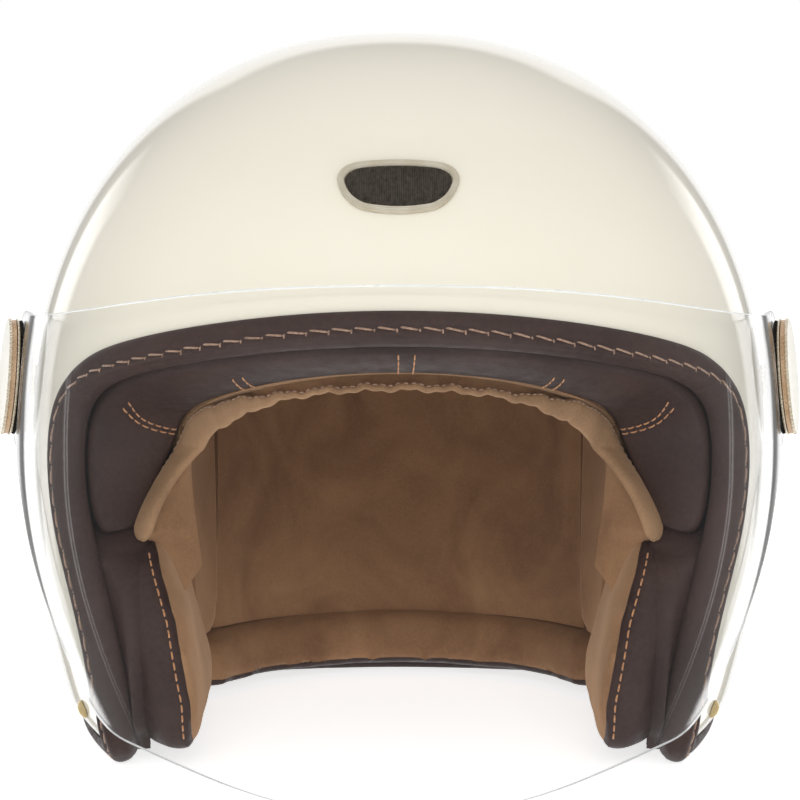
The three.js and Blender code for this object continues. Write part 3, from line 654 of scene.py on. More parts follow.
def dome_shell(outer, inner, loop, pole, rings):
    """A closed sheet between two forms."""
    vertices, faces = [], []
    count = len(loop)
    for layer, form in enumerate((outer, inner)):
        rows, top = dome_rows(form, loop, pole, rings)
        start = layer * (rings * count + 1)
        vertices += [rows.reshape(-1, 3), top[None]]
        faces += grid_faces(rings, count, False, True, start)
        last = start + (rings - 1) * count
        faces += [(last + j, last + (j + 1) % count, start + rings * count) for j in range(count)]
    step = rings * count + 1
    faces += [(j, (j + 1) % count, step + (j + 1) % count, step + j) for j in range(count)]
    return np.vstack(vertices), faces


ON_FORM = 0.006  # how far from 1 a form's value may be on its surface


def form_normals_on(obj, form):
    """Gives the vertices that lie on a form that form's own normals, so that gloss runs smoothly over it."""
    mesh = obj.data
    points = np.array([v.co for v in mesh.vertices]) / MM
    normals = np.array([v.normal for v in mesh.vertices])
    exact = form_normal(form, points)
    near = np.abs(form_value(form, points) - 1) < ON_FORM
    normals = np.where(near[:, None], exact, normals)
    mesh.normals_split_custom_set_from_vertices(normals.tolist())


def outer_shell():
    loop = beside(3.9, 0)[::2]
    vertices, faces = dome_shell(SHELL, grow(SHELL, -WALL), loop, (0, 0.72, 0.69), 84)
    obj = piece("helmet_shell", vertices, faces, CREAM, "helmet", "shell_paint", ["outer_shell"])
    form_normals_on(obj, SHELL)


outer_shell()

# --- leather edge roll
# The roll's section as (off the shell, out of it): a rounded nose with a sewn groove, and the shell's slot.
ROLL = [
    (0.2, 0.3), (0.35, 1.1), (1.1, 1.95), (2.5, 2.45), (3.9, 2.4), (4.6, 2.0), (5.0, 1.8), (5.4, 2.0),
    (6.3, 2.35), (7.6, 2.1), (9.0, 1.1), (10.0, -0.6), (10.5, -2.6), (10.3, -4.6), (9.4, -6.4),
    (7.9, -7.7), (6.2, -8.2), (4.2, -8.3), (2.4, -8.0), (1.1, -6.8), (0.6, -4.85),
]
ROLL_SLOT = [(4.7, -4.85), (4.7, 0.3)]
ROLL_SEAM = 5.0
ROLL_NOSE = 9.6  # the part of the section, off the shell, that moves with the seam
ROOM_TOP = 40.0  # below this height the roll's flank keeps clear of the swinging straps


def seam_shift():
    """How far the sewn groove moves from its place in the section, along the edge."""
    across, high = np.abs(EDGE[:, 0]), EDGE[:, 2]
    brow = np.interp(across, [0, 30, 62, 84, 98, 108], [1.2, 1.4, 2.6, 2.6, 1.4, -0.6])
    return np.where(high > 118, brow, np.interp(high, [0, 20, 80, 118], [0.2, -0.4, -1.2, -0.6]))


SEAM_SHIFT = ring_blur(seam_shift(), 6)


def seamed(off):
    """Where a point of the section is, off the shell, once the seam has moved."""
    return (off + SEAM_SHIFT * math.sin(math.pi * min(off / ROLL_NOSE, 1)))[:, None]


def edge_roll():
    skin = even_steps(smooth_line(ROLL, False, 8), 42, False)
    section_line = np.vstack([skin, ROLL_SLOT])
    rows = np.stack([
        EDGE + OFF * (seamed(off) if out > -1 else off) + OUT * out for off, out in section_line
    ], 1)
    turn = np.arange(EDGE_STEPS) * 2 * np.pi / EDGE_STEPS
    ripple = 0.12 * np.sin(turn * 17) * np.sin(turn * 41)
    rows[:, 6:30] += (OUT * ripple[:, None])[:, None]
    rows[..., 2] = np.maximum(rows[..., 2], 0.02)
    room = STRAP["plane"] + 6.6
    beyond = np.maximum(STRAP_ROOM[0] - rows[..., 1], rows[..., 1] - STRAP_ROOM[1])
    least = room * (1 - np.clip(beyond / 5, 0, 1) ** 2 * 0.3)
    tight = (np.abs(rows[..., 0]) < least) & (rows[..., 2] < ROOM_TOP) & (section_line[:, 1] < -2)
    tight &= beyond < 5
    rows[..., 0] = np.where(tight, np.sign(rows[..., 0]) * least, rows[..., 0])
    piece("edge_roll", *swept(rows, True), LEATHER, "helmet", "leather", ["edge_trim"], sharp=50)


edge_roll()


def stitch(start, end, lift, radius, lean=0.0):
    """One thread stitch: a short bent capsule from hole to hole, lying along lift's surface."""
    shares = np.array([0, 0.06, 0.2, 0.5, 0.8, 0.94, 1.0])[:, None]
    heights = np.array([-1.432, -0.179, 0.67125, 0.895, 0.67125, -0.179, -1.432])[:, None] * radius
    line = start + (end - start) * shares + lift * heights + lean * (shares - 0.5) * 2 * radius
    return tube(line, radius * np.array([0.55, 0.8, 1, 1, 1, 0.8, 0.55]), 7)


def stitches_along(line, lifts, length, gap, radius, lean=0.0, hook=False):
    """Stitches of a length with gaps, laid along a line; lifts point out of the surface.
    Lean slants them, and hook adds a short cross stitch at the end of each."""
    steps = run(line)
    count = max(1, int(round(steps[-1] / (length + gap))))
    pitch = steps[-1] / count
    parts = []
    for i in range(count):
        ends = i * pitch + gap / 2, (i + 1) * pitch - gap / 2
        a, b, lift = (
            np.array([np.interp(at, steps, values[:, k]) for k in range(3)])
            for at, values in ((ends[0], line), (ends[1], line), (sum(ends) / 2, lifts))
        )
        lift = unit(lift)
        across = np.cross(unit(b - a), lift)
        parts.append(stitch(a, b, lift, radius, across * lean))
        if hook:
            knot = b + across * lean * radius
            parts.append(stitch(knot - across * 0.5, knot + across * 1.0, lift, radius * 0.9))
    return parts


def roll_stitches():
    ring = np.append(np.arange(EDGE_STEPS), 0)
    line = (EDGE + OFF * seamed(ROLL_SEAM) + OUT * 1.86)[ring]
    keep = line[:, 2] > 1.2
    parts = []
    for chunk in np.split(np.arange(len(ring)), np.where(~keep)[0]):
        chunk = chunk[keep[chunk]]
        if len(chunk) > 6:
            parts += stitches_along(line[chunk], OUT[ring][chunk], 6.2, 0.7, 0.36, lean=1.5, hook=True)
    piece("edge_roll_stitching", *join_parts(parts), TAN_THREAD, "helmet", "leather")


roll_stitches()


# --- leather panel inside the roll
def ordered_front(low):
    """Edge frames over the brow from ear to ear, down to a height."""
    found = [i for i in range(EDGE_STEPS) if EDGE[i, 1] < -20 and EDGE[i, 2] > low]
    cut = next(k for k in range(1, len(found)) if found[k] - found[k - 1] > 1)
    return np.array(found[cut:] + found[:cut])


def panel_point(index, share, lift=0.0):
    """On the panel's face: share 0 at the edge roll to 1 at the suede; lift stands off it."""
    crown = 2.7 * np.sin(np.pi * np.clip(share, 0, 1)) ** 0.42
    a, b = panel_rims(index)
    return a * (1 - share) + b * share + OFF[index] * (crown + lift)


def binding_flare(points):
    """How far the binding stands out over the leather panel, more towards the cheeks."""
    share = np.clip((BINDING_FLARE_TOP - points[:, 2]) / (BINDING_FLARE_TOP - PAD_TOP), -0.3, 1.12)
    return BINDING_FLARE * np.where(share < 0.3, (share + 0.3) ** 2 / 1.2, share)


def flared(lift, off, index, most=0.7):
    """Points on the head form grown by a lift and by most of the binding's flare."""
    aim = beside(off, 0, index)
    near, far = onto(grow(HEAD, lift), aim), onto(grow(HEAD, lift + BINDING_FLARE), aim)
    return near + (far - near) * (most * binding_flare(EDGE[index]) / BINDING_FLARE)[:, None]


def panel_rims(index):
    """The panel's rims: at the edge roll and at the suede."""
    key = tuple(np.atleast_1d(index).tolist())
    if key not in PANEL_CACHE:
        PANEL_CACHE[key] = onto(grow(SHELL, -9.1), beside(8.0, 0, index)), flared(8.2, 8.2, index)
    return PANEL_CACHE[key]


PANEL_CACHE = {}
FRONT = ordered_front(PAD_TOP - 3.5)


def brow_panel():
    rims = panel_rims(FRONT)
    back_a = onto(grow(SHELL, -10.6), beside(-0.8, 0, FRONT))
    back_b = flared(8.6, -0.8, FRONT)
    columns = [panel_point(FRONT, s) for s in np.linspace(0, 1, 18)]
    columns += [rims[1] + OFF[FRONT] * (-2.5), (rims[1] + back_b) / 2, back_b, (back_a + back_b) / 2, back_a]
    columns += [(rims[0] + back_a) / 2, rims[0] + OFF[FRONT] * (-2.0)]
    rows = np.stack(columns, 1)
    rows = rounded_ends(rows, rows.mean(1, keepdims=True), 0.55)
    piece("brow_leather_panel", *swept(rows, False), LEATHER, "helmet", "leather", ["brow_panel"], sharp=60)


brow_panel()


def front_index(x=None, z=None, side=1):
    """The index in FRONT of the edge frame nearest to a given |x| on the brow, or a height on the side."""
    across, _, high = EDGE[FRONT].T
    if x is not None:
        return int(np.argmin(np.abs(across - x * side) + (high < 125) * 1000))
    return int(np.argmin(np.abs(high - z) + (across * side < 0) * 1000 + (high > 150) * 1000))


def panel_seam(path):
    """A sewn line over the panel through (index in FRONT, share) keys."""
    keys = smooth_line(np.array(path, float), False, 12)
    line, lifts = [], []
    for at, share in keys:
        low = int(np.clip(np.floor(at), 0, len(FRONT) - 2))
        part = at - low
        a, b = (panel_point(FRONT[k : k + 1], share, 0.12)[0] for k in (low, low + 1))
        line.append(a * (1 - part) + b * part)
        lifts.append(OFF[FRONT[low]])
    return np.array(line), np.array(lifts)


def panel_seams():
    parts = []
    seams = [[(front_index(x=offset), 0.1), (front_index(x=offset * 0.97), 0.97)] for offset in (0.2, 5.2)]
    for side in (1, -1):
        for top, foot in ((61.0, 65.0), (57.0, 60.0)):
            seams.append([(front_index(x=top, side=side), 0.42), (front_index(x=foot, side=side), 0.97)])
        for top, middle, foot in ((134.0, 128.0, 126.0), (131.5, 124.5, 122.5)):
            top, middle, foot = (front_index(z=z, side=side) for z in (top, middle, foot))
            seams.append([(top, 0.2), (middle, 0.6), (foot, 0.97)])
    for seam in seams:
        line, lifts = panel_seam(seam)
        parts += stitches_along(line, lifts, 2.7, 1.1, 0.27)
    piece("panel_stitching", *join_parts(parts), ORANGE_THREAD, "helmet", "leather")


panel_seams()


# --- suede binding on the liner's front edge
SKIRT_SPAN = ordered_front(31.0)
BINDING_LOW = 66.0


def front_binding():
    index = SKIRT_SPAN
    line = binding_line(index)
    across_brow = np.clip((70 - np.abs(line[:, 0])) / 12, 0, 1)
    ruffle = 0.45 * np.sin(line[:, 0] * 0.47) + 0.3 * np.sin(line[:, 0] * 1.13 + 1)
    line[:, 2] += ruffle * across_brow
    normal = form_normal(HEAD, line)
    along = unit(np.gradient(np.vstack([2 * line[0] - line[1], line, 2 * line[-1] - line[-2]]), axis=0)[1:-1])
    across = unit(np.cross(along, normal))
    across *= np.sign((across * OFF[index]).sum(1))[:, None]
    low = ease(np.clip((np.abs(line[:, 0]) - 30) / 40, 0, 1))
    half = (1.0 + 4.0 * low)[:, None, None]
    thick = (1.2 + 0.8 * low)[:, None, None]
    tilt = unit(across * 0.86 - normal * (0.5 * low)[:, None])
    face = unit(np.cross(along, tilt))
    face *= np.sign((face * normal).sum(1))[:, None]
    c, s = (squared(v, power)[:, None] for v, power in zip(circle(24), (0.75, 0.8)))
    rows = line[:, None] + tilt[:, None] * c * half + face[:, None] * s * thick
    skirt(index, line, face, tilt, thick, half)
    kept = EDGE[index, 2] > BINDING_LOW
    rows, line, face, tilt, thick, half = (values[kept] for values in (rows, line, face, tilt, thick, half))
    rows = rounded_ends(rows, line[:, None], 0.15)
    piece("liner_binding", *swept(rows, False), BINDING_SUEDE, "helmet", "suede", ["front_binding"])
    edge = line + face * (thick[:, 0] * 0.55) - tilt * (half[:, 0] * 0.84)
    stitching = stitches_along(edge[7:-7], unit(face - tilt)[7:-7], 1.6, 0.9, 0.26)
    piece("binding_stitching", *join_parts(stitching), TAN_THREAD, "helmet", "suede")


def binding_line(index):
    """The line of the binding: on the head form grown by its lift and flare."""
    line = flared(3.0, 13.2, index, 1.0)
    relax(line, 24)
    return line


def skirt(index, line, face, tilt, thick, half):
    """The suede that runs from the lining's edge out to the binding."""
    inner = onto(grow(HEAD, 1.2), beside(4.5, 0, index))
    rim = line - face * (thick[:, 0] * 0.55) - tilt * (half[:, 0] * 0.2)
    high = EDGE[index, 2:]
    rim = rim - OFF[index] * 5.5 * np.clip((70 - high) / 5, 0, 1)
    closing = np.clip((50 - high) / 19, 0, 0.96)
    inner = inner * (1 - closing) + rim * closing
    out = form_normal(HEAD, inner) * 1.1
    share = np.linspace(0, 1, 10)[:, None, None]
    rows = inner * (1 - share) + rim * share - out * np.sin(share * np.pi)
    section_rows = np.concatenate([rows, (rows + out)[::-1]]).transpose(1, 0, 2)
    piece("liner_skirt", *swept(section_rows, False), SUEDE, "helmet", "suede", sharp=60)


front_binding()


# --- suede liner
LINER_LOOP = onto(HEAD, beside(6.9, 0))


def soft_folds(points, amount):
    """Gentle waves of cloth that sits on foam."""
    x, y, z = np.moveaxis(points, -1, 0)
    return amount * (
        np.sin(x * 0.052 + 1.1 + 0.8 * np.sin(z * 0.031)) * 0.6
        + np.sin(z * 0.047 + x * 0.021 + 2.0) * 0.35
        + np.sin(y * 0.06 - z * 0.033) * 0.35
    )


def crown_liner():
    """A strip from the brow over the top of the head and down the back, with a sewn seam on each side."""
    xs = SIDE_SEAM_X - 0.35
    columns = xs * np.sin(np.linspace(-1, 1, 61) * np.pi / 2 * 0.98) / math.sin(math.pi / 2 * 0.98)
    upper = LINER_LOOP[(LINER_LOOP[:, 2] > 100) & (LINER_LOOP[:, 1] < 0)]
    upper = upper[np.argsort(upper[:, 0])]
    first = np.arctan2(upper[:, 2] - EQUATOR_Z, -(upper[:, 1] - CENTRE_Y))
    start = np.interp(columns, upper[:, 0], first)
    side, _, rear = section(HEAD, np.array(NECK_SEAM_Z))
    reach = rear * (1 - curve_power(columns / side, HEAD["round"])) ** (1 / HEAD["round"])
    end = np.pi + np.arctan2(EQUATOR_Z - NECK_SEAM_Z, reach)
    share = np.linspace(0, 1, 90)[:, None]
    angle = start[None] * (1 - share) + end[None] * share
    direction = np.stack([np.zeros_like(angle), -np.cos(angle), np.sin(angle)], -1)
    origin = np.zeros_like(direction) + (0, CENTRE_Y, EQUATOR_Z)
    origin[..., 0] += columns
    inner = cast(HEAD, origin, direction)
    normal = form_normal(HEAD, inner)
    seam = 1.9 * np.exp(-(((np.abs(inner[..., 0]) - xs) / 2.2) ** 2))
    tuck = 2.2 * np.exp(-(share * 38) ** 2) + 1.6 * np.exp(-((1 - share) * 47.5) ** 2)
    inner = inner + normal * (soft_folds(inner, 0.8) + seam + tuck + 0.8)[..., None]
    outer = inner + normal * (6.2 - (seam + tuck)[..., None])
    cloth = sheet(inner, outer)
    obj = piece("crown_suede_liner", *cloth, SUEDE, "helmet", "suede", ["crown_liner"], sharp=60)


crown_liner()


LINER_RAYS = 150
LINER_REACH = 150.0


def side_liner_place(reach):
    """Places (y, z) at distances round the middle of a side liner."""
    c, s = circle(LINER_RAYS)
    return 48.0 + reach * c, 96.0 + reach * s


def within_side_liner(reach):
    y, z = side_liner_place(reach)
    front = LINER_LOOP[(LINER_LOOP[:, 0] > 30) & (LINER_LOOP[:, 1] < 10) & (LINER_LOOP[:, 2] > 60)]
    front = front[np.argsort(front[:, 2])]
    inside_seam = side_x(HEAD, y, z) > SIDE_SEAM_X + 0.5
    behind_edge = y > np.interp(z, front[:, 2], front[:, 1])
    over_pad = (z > PAD_TOP - 5) | (y > 27)
    return inside_seam & behind_edge & over_pad & (z > NECK_SEAM_Z + 0.4)


def side_liners():
    reach, _ = bisect(within_side_liner, np.zeros(LINER_RAYS), np.full(LINER_RAYS, LINER_REACH), 30)
    reach = ring_blur(reach, 1)
    shares = np.concatenate([[0.02], np.linspace(0.08, 1, 26)])[:, None]
    y, z = side_liner_place(shares * reach)
    inner = np.stack([side_x(HEAD, y, z), y, z], -1)
    normal = form_normal(HEAD, inner)
    tuck = 1.9 * np.exp(-((1 - shares) * reach / 2.4) ** 2)
    inner = inner + normal * (soft_folds(inner, 0.7) + tuck + 0.7)[..., None]
    outer = inner + normal * (6.0 - tuck[..., None])
    rings, count = inner.shape[:2]
    vertices = np.vstack([inner.reshape(-1, 3), outer.reshape(-1, 3)])
    start = rings * count
    faces = grid_faces(rings, count, False, True) + grid_faces(rings, count, False, True, start)
    faces += [tuple(range(count)), tuple(range(start, start + count))]
    rim = [start - count + j for j in range(count)]
    faces += [(a, b, b + start, a + start) for a, b in zip(rim, rim[1:] + rim[:1])]
    for label, sign in SIDES:
        obj = piece(
            f"side_suede_liner_{label}", mirrored(vertices, sign), faces, SUEDE, "helmet", "suede",
            [f"side_liner_{label}"], sharp=60,
        )


side_liners()


# --- stuffed pads by cloth simulation
PRESSURE = 4.0
SWELL_FRAMES = 20


def stuffed(name, node, voxel, most, slim=1.0, shape=None):
    """A pad swelled from its CAD solid: remeshed, blown up as cloth and smoothed.
    No point moves more than most while it is blown up. Before that, slim draws the solid in towards
    the helmet's middle and shape moves its points."""
    mesh = bpy.data.objects[node].data.copy()
    centre = Vector((0, CENTRE_Y * MM, 0))
    scale = Matrix.Diagonal((slim, slim, 1, 1))
    mesh.transform(Matrix.Translation(centre) @ scale @ Matrix.Translation(-centre))
    if shape:
        points = np.array([v.co for v in mesh.vertices]) / MM
        mesh.vertices.foreach_set("co", (shape(points) * MM).ravel())
    obj = in_scene(bpy.data.objects.new(name, mesh))
    obj.data.materials.clear()
    bpy.context.view_layer.objects.active = obj
    for o in bpy.context.selected_objects:
        o.select_set(False)
    obj.select_set(True)
    remesh = obj.modifiers.new("remesh", "REMESH")
    remesh.mode = "VOXEL"
    remesh.voxel_size = voxel * MM
    bpy.ops.object.modifier_apply(modifier="remesh")
    rest = np.array([v.co for v in obj.data.vertices])
    cloth = obj.modifiers.new("cloth", "CLOTH")
    cloth.settings.use_pressure = True
    cloth.settings.uniform_pressure_force = PRESSURE
    cloth.settings.effector_weights.gravity = 0
    cloth.settings.tension_stiffness = 20
    cloth.settings.bending_stiffness = 2
    cloth.point_cache.frame_start, cloth.point_cache.frame_end = 1, SWELL_FRAMES
    for step in range(1, SWELL_FRAMES + 1):
        bpy.context.scene.frame_set(step)
    swelled = obj.evaluated_get(bpy.context.evaluated_depsgraph_get())
    moved = np.array([v.co for v in swelled.data.vertices])
    obj.modifiers.remove(cloth)
    bpy.context.scene.frame_set(1)
    travel = moved - rest
    size = np.linalg.norm(travel, axis=1, keepdims=True)
    rest = rest + travel * np.minimum(1, most * MM / np.maximum(size, 1e-9))
    obj.data.vertices.foreach_set("co", rest.ravel())
    smooth = obj.modifiers.new("smooth", "SMOOTH")
    smooth.factor, smooth.iterations = 0.5, 4
    bpy.ops.object.modifier_apply(modifier="smooth")
    subdivide = obj.modifiers.new("subdivide", "SUBSURF")
    subdivide.levels = subdivide.render_levels = 1
    bpy.ops.object.modifier_apply(modifier="subdivide")
    smooth_faces(obj.data)
    return obj


def cut_along(obj, field, depth, width):
    """Parts a mesh where the field is zero, and sinks a sewn groove there.
    The part below zero gets the second material."""
    made = bmesh.new()
    made.from_mesh(obj.data)
    made.verts.ensure_lookup_table()
    fields = field(np.array([v.co for v in made.verts]) / MM)
    value = {v: 0.02 if abs(f) < 0.02 else float(f) for v, f in zip(made.verts, fields)}
    for edge in list(made.edges):
        first, second = edge.verts
        if value[first] * value[second] < 0:
            _, fresh = bmesh.utils.edge_split(edge, first, value[first] / (value[first] - value[second]))
            value[fresh] = 0.0
    for face in list(made.faces):
        ends = [v for v in face.verts if value[v] == 0.0]
        if len(ends) == 2 and not any(e.other_vert(ends[0]) is ends[1] for e in ends[0].link_edges):
            bmesh.utils.face_split(face, ends[0], ends[1])
    for face in made.faces:
        face.material_index = int(sum(value[v] for v in face.verts) < 0)
    made.normal_update()
    sunk = {v: v.co - v.normal * (depth * MM * math.exp(-((value[v] / width) ** 2))) for v in made.verts}
    for v, place in sunk.items():
        v.co = place
    made.to_mesh(obj.data)
    made.free()
    obj.data.update()


def pad_shape(points):
    """The pad stands a little further in than its solid at the front, and thins towards the back."""
    x, y, z = points.T
    share = np.clip((86 - x) / 18, 0, 1)
    return np.stack([x + share * (pad_taper(y, z) - 1.8), y, z], 1)


def pad_taper(y, z):
    return 0.1 * np.clip(y + 62, 0, None) * np.clip((z - 6) / 34, 0, 1)


def pad_inner(z):
    """How far the inner face of a cheek pad is from the middle of the helmet."""
    return np.interp(z, [23, 50, 78], [66, 70.9, 80])


def front_of(tree, x, z):
    """Where a line along Y first meets a pad, and which way its face points there."""
    place, normal, _, _ = tree.ray_cast(Vector((x * MM, -0.2, z * MM)), Vector((0, 1, 0)))
    return (np.array(place) / MM, np.array(normal)) if place else None


PAD_SEAM = 0.4  # the pad's seam, out from its inner face
STRAP_TOP = 34.0  # below this height the gusset keeps clear of the straps
FACE_X = 82.0  # where the gusset meets the pad's face


def pad_stitches(tree):
    met = [front_of(tree, float(pad_inner(z)) + PAD_SEAM + 3.2, z) for z in np.linspace(11, 71, 40)]
    line, lifts = (np.array(found) for found in zip(*(m for m in met if m)))
    relax(line, 3)
    return stitches_along(line + lifts * 0.1, lifts, 2.6, 1.0, 0.3)


def pad_gusset(tree):
    """The leather between the edge roll and a cheek pad: a soft fold from the roll's flank to the pad."""
    side = [i for i in range(EDGE_STEPS) if EDGE[i, 0] > 0 and EDGE[i, 1] < -58 and EDGE[i, 2] < 120]
    side = np.array(sorted(side, key=lambda i: EDGE[i, 2]))
    lines = beside(6.6, -7.2, side), beside(1.6, -7.4, side)
    rows = []
    for z in np.linspace(4.5, 84, 64):
        start, back = (
            np.array([np.interp(z, line[:, 2], line[:, k]) for k in range(3)]) for line in lines
        )
        met = front_of(tree, FACE_X, float(np.clip(z, 9.0, 71.0)))
        tuck = 9.0 * float(np.clip((z - 69) / 9, 0, 1)) ** 1.4 + 3.0 * float(np.clip((9 - z) / 6, 0, 1))
        start, back = start + (0, tuck, 0), back + (0, tuck, 0)
        end = np.array([FACE_X, met[0][1] + 1.0 + tuck, z])
        ripple = 0.35 * math.sin(z * 0.31) + 0.2 * math.sin(z * 0.83 + 1)
        across = bezier([start, start + (-3.5, -1.2, 0), end + (7.0, -5.0 + ripple, 0), end], 12)
        behind = 5.0
        if z < STRAP_TOP:
            back[1] = min(back[1], -70.5)
            behind = 1.2
        rest = np.array([end + (1.5, behind - 0.6, 0), end + (8, behind, 0), back])
        rows.append(np.vstack([across, rest]))
    return swept(np.array(rows), False)


def pad_side(points):
    """Below zero on the suede inner side of the pad."""
    x, y, z = points.T
    return x - pad_inner(z) - PAD_SEAM - pad_taper(y, z)


def cheek_pads():
    left = stuffed("cheek_pad_skin_left", "cheek_pad_left", 4.0, 2.2, shape=pad_shape)
    cut_along(left, pad_side, 0.8, 1.3)
    right = left.copy()
    right.data = left.data.copy()
    right.name = "cheek_pad_skin_right"
    right.data.transform(Matrix.Scale(-1, 4, (1, 0, 0)))
    right.data.flip_normals()
    in_scene(right)
    faces = [tuple(p.vertices) for p in left.data.polygons]
    tree = BVHTree.FromPolygons([v.co for v in left.data.vertices], faces)
    parts = (
        ("stitching", join_parts(pad_stitches(tree)), ORANGE_THREAD, None),
        ("gusset", pad_gusset(tree), LEATHER, 60),
    )
    for (label, sign), obj in zip(SIDES, (left, right)):
        adopt(obj, [LEATHER, SUEDE], "helmet", [f"cheek_pad_{label}"])
        for part, (vertices, faces), material, sharp in parts:
            name = f"cheek_pad_{part}_{label}"
            piece(name, mirrored(vertices, sign), faces, material, "helmet", "leather", sharp=sharp)


cheek_pads()


def neck_roll():
    obj = stuffed("neck_roll_skin", "neck_roll", 5.0, 2.0, slim=0.985)
    bottom = min(v.co.z for v in obj.data.vertices) / MM
    cut_along(obj, lambda points: points[:, 2] - bottom - 3.4, 0.5, 1.3)
    adopt(obj, [SUEDE, LEATHER], "helmet", ["neck_roll"])


neck_roll()


# --- visor
RIM_BEVEL = 0.35
VISOR_TURN = math.radians(93.2)  # how far round each side the sheet reaches
EAR_FLAT = 22.4  # the radius of the flat of an ear
EAR_BLEND = 5.0
EAR_FROM_X, EAR_TO_Y = 60, 30  # ears lie further out than this, and in front of this


def visor_edges():
    """Height of the visor's lower and upper edge as functions of y."""
    centre_y, centre_z = PIVOT[1], PIVOT[2]
    upper = [
        np.array([[-175, 176.0], [-125, 161]]),
        bezier([(-125, 161), (-100, 153.5), (-75, 146), (centre_y, centre_z + EAR)], 30),
    ]
    lower = [
        np.array([[-190, 0.0], [-150, 4.2]]),
        bezier([(-150, 4.2), (-132, 11), (-122, 15), (-100, 16)], 20),
        bezier([(-100, 16), (-84, 17), (-76, 28)], 14),
        bezier([(-76, 28), (-66, 40), (-55, 56), (-45, 74)], 20),
        bezier([(-45, 74), (-38, 92), (-26, 99), (centre_y, centre_z - EAR)], 24),
    ]
    turn = np.linspace(np.pi / 2, 0, 40)
    arc = np.stack([centre_y + EAR * np.cos(turn), EAR * np.sin(turn)], 1)
    upper.append(arc + (0, centre_z))
    lower.append(arc * (1, -1) + (0, centre_z))
    return [lambda y, line=np.vstack(keys): np.interp(y, line[:, 0], line[:, 1]) for keys in (lower, upper)]


def ear_plane_x(y, z):
    """Where the tilted flat of an ear is, for the left side."""
    nx, ny, nz = math.cos(TILT) * math.cos(LEAN), -math.sin(TILT) * math.cos(LEAN), math.sin(LEAN)
    return PIVOT[0] + VISOR_WALL - (ny * (y - PIVOT[1]) + nz * (z - PIVOT[2])) / nx


def visor_shield():
    """A grid of points on the visor's outer face, and its outward directions there."""
    share = np.linspace(-1, 1, 341)
    turn = VISOR_TURN * np.sign(share) * (1 - (1 - np.abs(share)) ** 1.12)
    level = np.zeros_like(turn)
    direction = np.stack([np.sin(turn), -np.cos(turn), level], 1)

    def at(z):
        return cast(VISOR, np.stack([level, level + CENTRE_Y, z], 1), direction, 220)

    ends = []
    for edge, low, high in zip(visor_edges(), (-5.0, PIVOT[2]), (PIVOT[2], 175.0)):
        ends.append(sum(bisect(lambda z: z <= edge(at(z)[:, 1]), level + low, level + high, 22)) / 2)
    rows = np.array([at(ends[0] * (1 - s) + ends[1] * s) for s in np.linspace(0, 1, 56)])
    x, y, z = np.moveaxis(rows, -1, 0)
    distance = np.hypot(y - PIVOT[1], z - PIVOT[2])
    blend = np.where(y > EAR_TO_Y, 1, ease(np.clip((distance - EAR_FLAT) / EAR_BLEND, 0, 1)))
    wide = np.abs(x)
    eared = wide * blend + ear_plane_x(y, z) * (1 - blend)
    rows[..., 0] = np.sign(x) * np.where(wide > EAR_FROM_X, eared, wide)
    normal = unit(np.cross(np.gradient(rows, axis=1), np.gradient(rows, axis=0)))
    normal *= np.sign((normal * (rows - EDGE_CENTRE)).sum(-1))[..., None]
    return rows, normal


def visor_mesh():
    outer, normal = visor_shield()
    steps, count = outer.shape[:2]
    layer = steps * count
    ring = border(steps, count)
    faces = grid_faces(steps, count) + grid_faces(steps, count, start=layer)
    rim = []
    for at in ring:
        r, c = divmod(at, count)
        neighbour = outer[min(max(r, 1), steps - 2), min(max(c, 1), count - 2)]
        away = unit(outer[r, c] - neighbour) * RIM_BEVEL
        rim += [outer[r, c] - normal[r, c] * depth + away for depth in (RIM_BEVEL, VISOR_WALL - RIM_BEVEL)]
    for k, (a, b) in enumerate(zip(ring, ring[1:] + ring[:1])):
        p, q = (2 * (layer + n % len(ring)) for n in (k, k + 1))
        faces += [(a, b, q, p), (p, q, q + 1, p + 1), (p + 1, q + 1, b + layer, a + layer)]
    vertices = [outer.reshape(-1, 3), (outer - normal * VISOR_WALL).reshape(-1, 3), np.array(rim)]
    obj = piece(
        "clear_visor", np.vstack(vertices), faces, [CLEAR, CLEAR_EDGE], "visor", "visor_clear", ["visor"],
        sharp=40, weld=0.00002,
    )
    # The upright rim faces take the near-white edge material, a painted highlight.
    centres, faced = (np.array([getattr(p, k)[:] for p in obj.data.polygons]) for k in ("center", "normal"))
    centres = centres / MM
    away = np.hypot(centres[:, 1] - PIVOT[1], centres[:, 2] - PIVOT[2]) > EAR + 12
    upright = np.abs((form_normal(VISOR, centres) * faced).sum(1)) < np.where(away, 0.85, 0.45)
    obj.data.polygons.foreach_set("material_index", upright.astype(np.int32))


visor_mesh()


# --- pivot knobs
def at_knob(vertices, sign):
    """Turns a piece made about X, from the ear's inner face outwards, to the tilted axis of a knob."""
    turn = Matrix.Rotation(-TILT, 3, "Z") @ Matrix.Rotation(-LEAN, 3, "Y")
    placed = np.asarray(vertices) @ np.array(turn).T + PIVOT
    return mirrored(placed, sign)


# Out from the ear's inner face: the cap's foot, rim and top.
CAP_FOOT, CAP_RIM, CAP_TOP = 5.0, 6.9, 8.7
KNOB_BORE = 8.0
FLUTES = 64
# The side's copper-brown is a painted reflection of the warm surroundings.
CAP_METALS = [IVORY, CAP_SIDE_PAINTED_REFLECTION, CHAMPAGNE]  # the dome, the side and the edge between them


